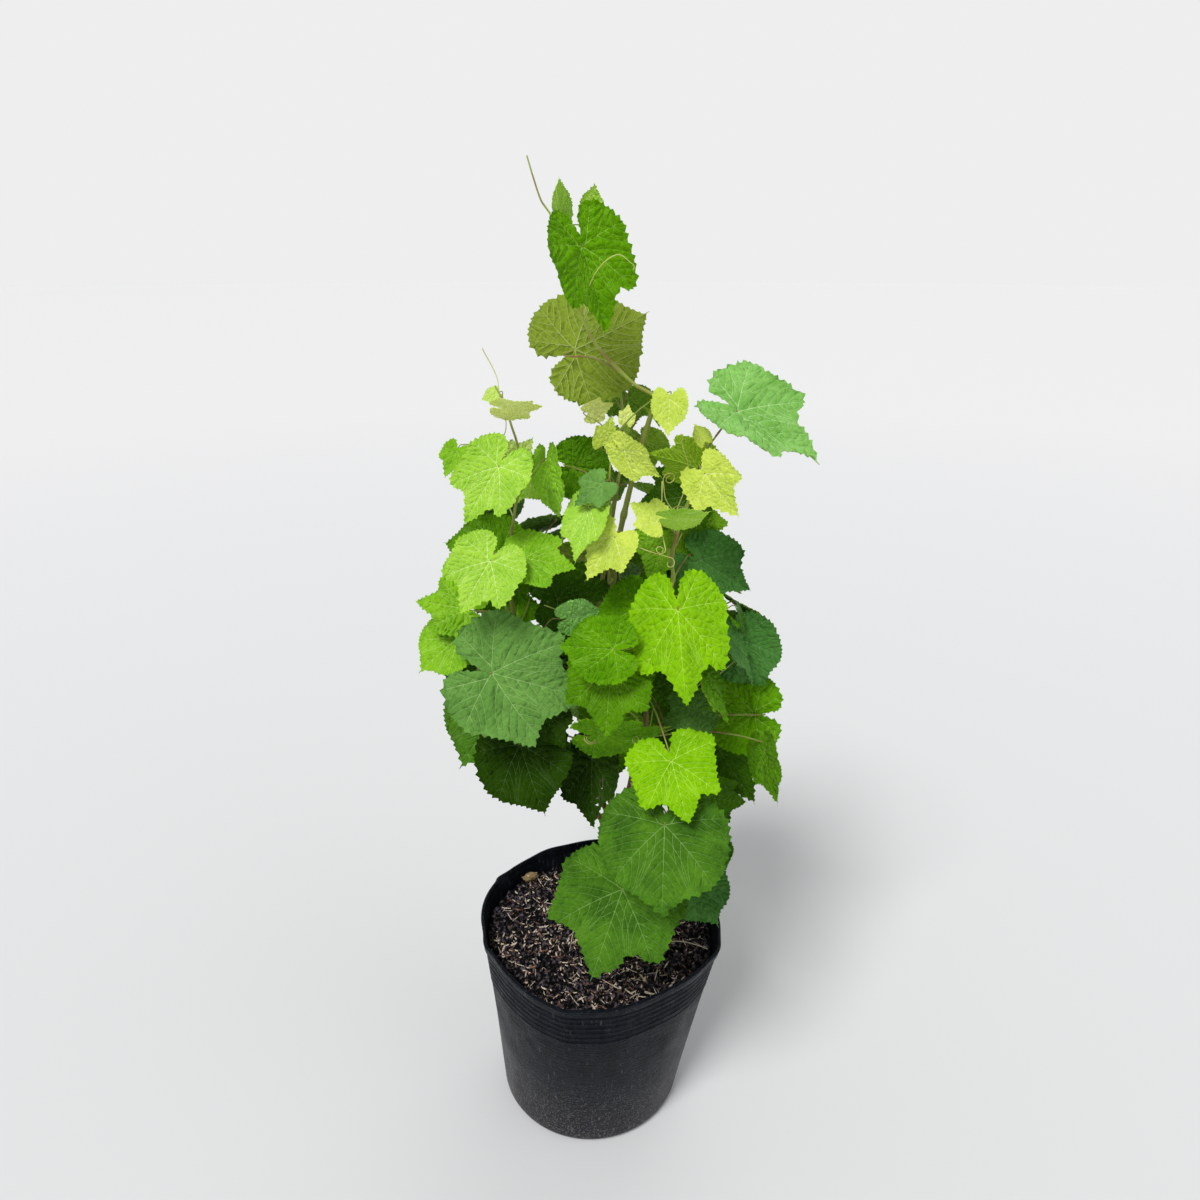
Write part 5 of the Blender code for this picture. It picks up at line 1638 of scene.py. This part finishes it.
# A lump of pale bark on the mix, and a straw that leans on the wall.
LUMP_PLACE = (-0.0755, 0.0840, 0.2228)
LUMP_SIZE = (0.0095, 0.005, 0.0042)
LUMP_TURN = 0.5
LUMP_FIBRE = (0.8, 2.6, 2.6)  # its fibres' waves along and across it
LUMP_ROUGH = 0.45
STRAW = [
    (0.080, -0.025, 0.2185), (0.103, -0.032, 0.2265), (0.122, -0.040, 0.2285),
    (0.133, -0.045, 0.2275),
]


def make_lump(material):
    """A split lump of bark: a ball squashed to its size and broken along its fibres."""
    bm = bmesh.new()
    bmesh.ops.create_icosphere(bm, subdivisions=4, radius=1.0)
    for vert in bm.verts:
        drawn_out = Vector([c * waves for c, waves in zip(vert.co, LUMP_FIBRE)])
        fibre = noise.fractal(drawn_out, 1.0, 2.0, 4)
        vert.co *= 1.0 + LUMP_ROUGH * fibre
        vert.co = Vector([c * size for c, size in zip(vert.co, LUMP_SIZE)])
    bmesh.ops.rotate(bm, verts=bm.verts, matrix=Matrix.Rotation(LUMP_TURN, 3, "Z"))
    bmesh.ops.translate(bm, verts=bm.verts, vec=LUMP_PLACE)
    return finish_mesh("bark_lump", bm, material)


def strew(name, soil, shapes, materials, shape_seed, seed, density, smallest, largest):
    """Litter of these shapes, so many to a square metre, grown over a copy of the mix."""
    pieces = hidden_collection(name + "_shapes", [
        chip_shape("{}_{}".format(name, i), *(mm * MM for mm in size), shape_seed + i)
        for i, size in enumerate(shapes)])
    return grow(link_object(name, soil.data.copy()), make_litter_tree(pieces, materials), {
        "Density": density, "Seed": seed, "Smallest": smallest, "Largest": largest,
        "Reach": max(length for length, width, thick in shapes) / 2 * MM,
    })


# ---------------------------------------------------------------- the vine

def node_tree(name):
    """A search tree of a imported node's own mesh."""
    mesh = frame["nodes"][name].data
    return BVHTree.FromPolygons(
        [vert.co for vert in mesh.vertices], [tuple(face.vertices) for face in mesh.polygons])


def stem_route(mass, routes):
    rest = [sighted(*place) for place in mass.shoot]
    start, heading = start_on(routes[mass.cane], mass.height, rest[0])
    return growing_route(start, heading, rest, 2)


def grow_vine():
    """The place of every leaf, by the rule of the solids, and each mass's own shoot.  Small
    leaves then fill in between those of the back."""
    routes = {name: cane_route(name) for name in CANES}
    fixed = [node_tree(name) for name in ("pot", "soil", "trunk", *CANES)]
    stems = {name: stem_route(mass, routes) for name, mass in ALL_MASSES.items()}
    room = {name: [sleeve_test(route, STEM_ROOM)] for name, route in stems.items()}
    grown = {name: [] for name in ALL_MASSES}

    def settle(name, rows):
        others = fixed + [solid for other in room if other != name for solid in room[other]]
        for places in rows:
            found = place_leaf(places, stems[name], room[name], others)
            if found:
                leaf, frame, scale, path = found
                room[name] += [blade_test(leaf, frame, scale), sleeve_test(path, STALK_ROOM)]
                grown[name].append(found)

    for name, mass in ALL_MASSES.items():
        settle(name, filled_places(name, mass, stems[name]) if name in FILLS else set_places(mass))
    for name, fill in FILLS.items():
        small = fill._replace(count=SMALL_COUNT, size=fill.size * SMALL_SHARE)
        settle(name, filled_places(name + " small", small, stems[name], SMALL_INSET))
    return routes, stems, grown


# Tones of the leaves of the back above each height, older and darker towards the foot.
BACK_TONES = [
    (0.74, ("spring", "lime", "fresh", "mid")),
    (0.58, ("bright", "mid", "moss", "fresh", "blue")),
    (0.0, ("moss", "dark", "dark", "blue", "mid")),
]


def deal_tones(grown):
    for name in FILLS:
        rng = random.Random(name + " tones")
        for i, (leaf, frame, scale, path) in enumerate(grown[name]):
            tones = next(tones for height, tones in BACK_TONES if frame.translation.z > height)
            grown[name][i] = (leaf._replace(tone=rng.choice(tones)), frame, scale, path)


def ride(obj, slot, *nodes):
    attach(obj, "root")
    if nodes:
        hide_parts(*nodes)


def add_leaves(grown):
    blades = hidden_collection("blades", [
        make_blade(variety, i) for i, variety in enumerate(VARIETIES)])
    leaf_tree = make_leaf_tree(make_leaf_materials())
    for name, leaves in grown.items():
        points = leaf_points("leaves_" + name, leaves)
        made = grow(points, leaf_tree, {"Blades": blades, "Droop": DROOP, "Wave": WAVE})
        ride(made, "vine_leaf", name)


def shoot_limbs(stems, grown):
    """Each mass's shoot, with a joint where each leaf stalk leaves it."""
    for name, route in stems.items():
        fine = smooth_route(route, 5)
        foot = CANE_TIP if ALL_MASSES[name].height is None else STEM_FOOT
        joints = [path[0] for leaf, frame, scale, path in grown[name]]
        radii = taper(len(fine), foot * FINE_FOOT, STEM_TIP * FINE_TIP)
        yield fine, swollen(fine, radii, joints, *SHOOT_JOINT)


def cane_limbs(routes):
    """Each cane, with its joints at even spaces."""
    for route in routes.values():
        fine = smooth_route(route, 8)
        joints = [route[0]]
        for place in route:
            if (place - joints[-1]).length > JOINT_SPACING:
                joints.append(place)
        yield fine, swollen(fine, taper(len(fine), CANE_FOOT, CANE_TIP), joints, *CANE_JOINT)


def add_limbs(routes, stems, grown, husk):
    """Stalks, shoots, tendrils, canes and a straw: for each its limbs, skin, slot, sides, and
    the height and grain of its relief in mm."""
    green_skin = make_young_skin("green_shoot_skin", "#9cb048", "#94803c")
    stalk_skin = make_young_skin("leaf_stalk_skin", "#8ea242", "#88583c")
    tendril_skin = make_young_skin("tendril_skin", "#d8dc80", "#bcb45c")
    bark = make_bark("cane_bark", "#4a3220", "#8f7048", "#808a38")
    stalks = [stalk_limb(*found) for leaves in grown.values() for found in leaves]
    straw = smooth_route([Vector(place) for place in STRAW], 8)
    for name, limbs, skin, slot, sides, relief_mm, grain_mm in (
        ("leaf_stalks", stalks, stalk_skin, "vine_leaf", 6, 0.1, 0.9),
        ("green_shoots", shoot_limbs(stems, grown), green_skin, "vine_leaf", 10, 0.2, 1.5),
        ("tendrils", map(tendril_limb, TENDRILS), tendril_skin, "vine_leaf", 6, 0.0, 1.5),
        ("canes", cane_limbs(routes), bark, "cane_bark", 16, 0.9, 3.0),
        ("straw", [(straw, taper(len(straw), *STRAW_RADII))], husk, "potting_mix", 8, 0.15, 1.8),
    ):
        made = grow(limb_curve(name, limbs), make_skin_tree("skin_" + name, skin), {
            "Sides": sides, "Relief": relief_mm * MM, "Grain": 1 / (grain_mm * MM),
        })
        ride(made, slot, *(CANES if name == "canes" else ()))


def main():
    routes, stems, grown = grow_vine()
    deal_tones(grown)
    add_leaves(grown)
    husk = make_mix("husk_chip_pale", "#dcc9ae", "#fffcf4", 2.0)
    add_limbs(routes, stems, grown, husk)
    ride(make_trunk(make_bark("trunk_bark", "#33241a", "#8b7258")), "trunk_bark", "trunk")
    pot = finish_mesh("pot_wall", turned(wall_profile(), POT_STEPS, soft_wall), make_pot_plastic())
    ride(pot, "pot_plastic", "pot")
    soil = make_soil(make_mix("moist_potting_mix", "#030203", "#6e636a", 4.5))
    ride(soil, "potting_mix", "soil")
    dark = make_mix("bark_chip_dark", "#070506", "#2e2626", 2.0)
    red = make_mix("bark_chip_red", "#6e4e3c", "#c8a086", 2.0)
    ride(make_lump(make_mix("split_bark", "#8c7650", "#e2d2a8", 3.0)), "potting_mix")
    for litter in (
        strew("husk_chips", soil, CHIPS, [husk, dark, red, husk], shape_seed=0, seed=3,
              density=22000.0, smallest=0.35, largest=1.3),
        strew("coir_fibres", soil, FIBRES, [red, husk], shape_seed=20, seed=4,
              density=16000.0, smallest=0.4, largest=1.2),
    ):
        ride(litter, "potting_mix")
    make_stage()


# ---------------------------------------------------------------- floor, light and camera

PITCH = 21.7                  # degrees that the camera looks down
SENSOR = 36.0                 # mm, as the lens
LENS = 26.4
NEAR_FLOOR = "#dfe0e0"
FAR_FLOOR = "#e9e9e9"
FLOOR_RADIUS = 30.0
FLOOR_FADE = (0.5, 5.0)       # metres out between which it turns from the near to the far tone
BACKDROP = 0.871              # how bright the far wall looks
SKY_LIGHT = 0.38              # the soft light that falls from all round
# Broad, far lamps: name, place that they shine from, width in degrees, strength.
LAMPS = [
    ("key_softbox", (-1.2, -2.0, 3.1), 20, 2.15),
    ("fill_softbox", (2.4, -1.0, 1.8), 50, 0.3),
    ("back_softbox", (0.8, 2.4, 2.2), 50, 0.45),
]


def make_stage():
    floor, add, shader, place = new_material("pale_floor")
    apart = add(VECTOR, [place], "Value", operation="LENGTH")
    share = add(RANGE, [apart, *FLOOR_FADE])
    set_inputs(shader, {
        "Base Color": add(MIX, {0: share, 6: NEAR_FLOOR, 7: FAR_FLOOR}, 2, data_type="RGBA"),
        "Roughness": 0.95, "Specular IOR Level": 0.1,
    })
    bm = bmesh.new()
    bmesh.ops.create_circle(bm, cap_ends=True, segments=64, radius=FLOOR_RADIUS)
    finish_mesh("floor", bm, floor)

    world = bpy.data.worlds.new("studio")
    bpy.context.scene.world = world
    world.use_nodes = True
    nodes = world.node_tree.nodes
    add = partial(add_node, world.node_tree)
    set_inputs(nodes["Background"], {"Color": "#fcfdff", "Strength": SKY_LIGHT})
    backdrop = add("ShaderNodeBackground", {"Color": "#fdfdfe", "Strength": BACKDROP})
    seen = add("ShaderNodeLightPath", out="Is Camera Ray")
    set_inputs(nodes["World Output"], {
        "Surface": add("ShaderNodeMixShader", [seen, nodes["Background"].outputs[0], backdrop])})
    for name, place, angle, strength in LAMPS:
        light = bpy.data.lights.new(name, "SUN")
        light.angle = math.radians(angle)
        light.energy = strength
        lamp = link_object(name, light)
        lamp.location = place
        lamp.rotation_euler = Vector(place).to_track_quat("Z", "Y").to_euler()

    camera = bpy.data.cameras.new("camera")
    camera.sensor_width = SENSOR
    camera.lens = LENS
    camera.clip_end = 80.0
    viewer = link_object("camera", camera)
    viewer.location = SIGHT
    viewer.rotation_euler = (math.radians(90 - PITCH), 0.0, 0.0)
    bpy.context.scene.camera = viewer
    bpy.context.scene.view_settings.view_transform = "Standard"


main()
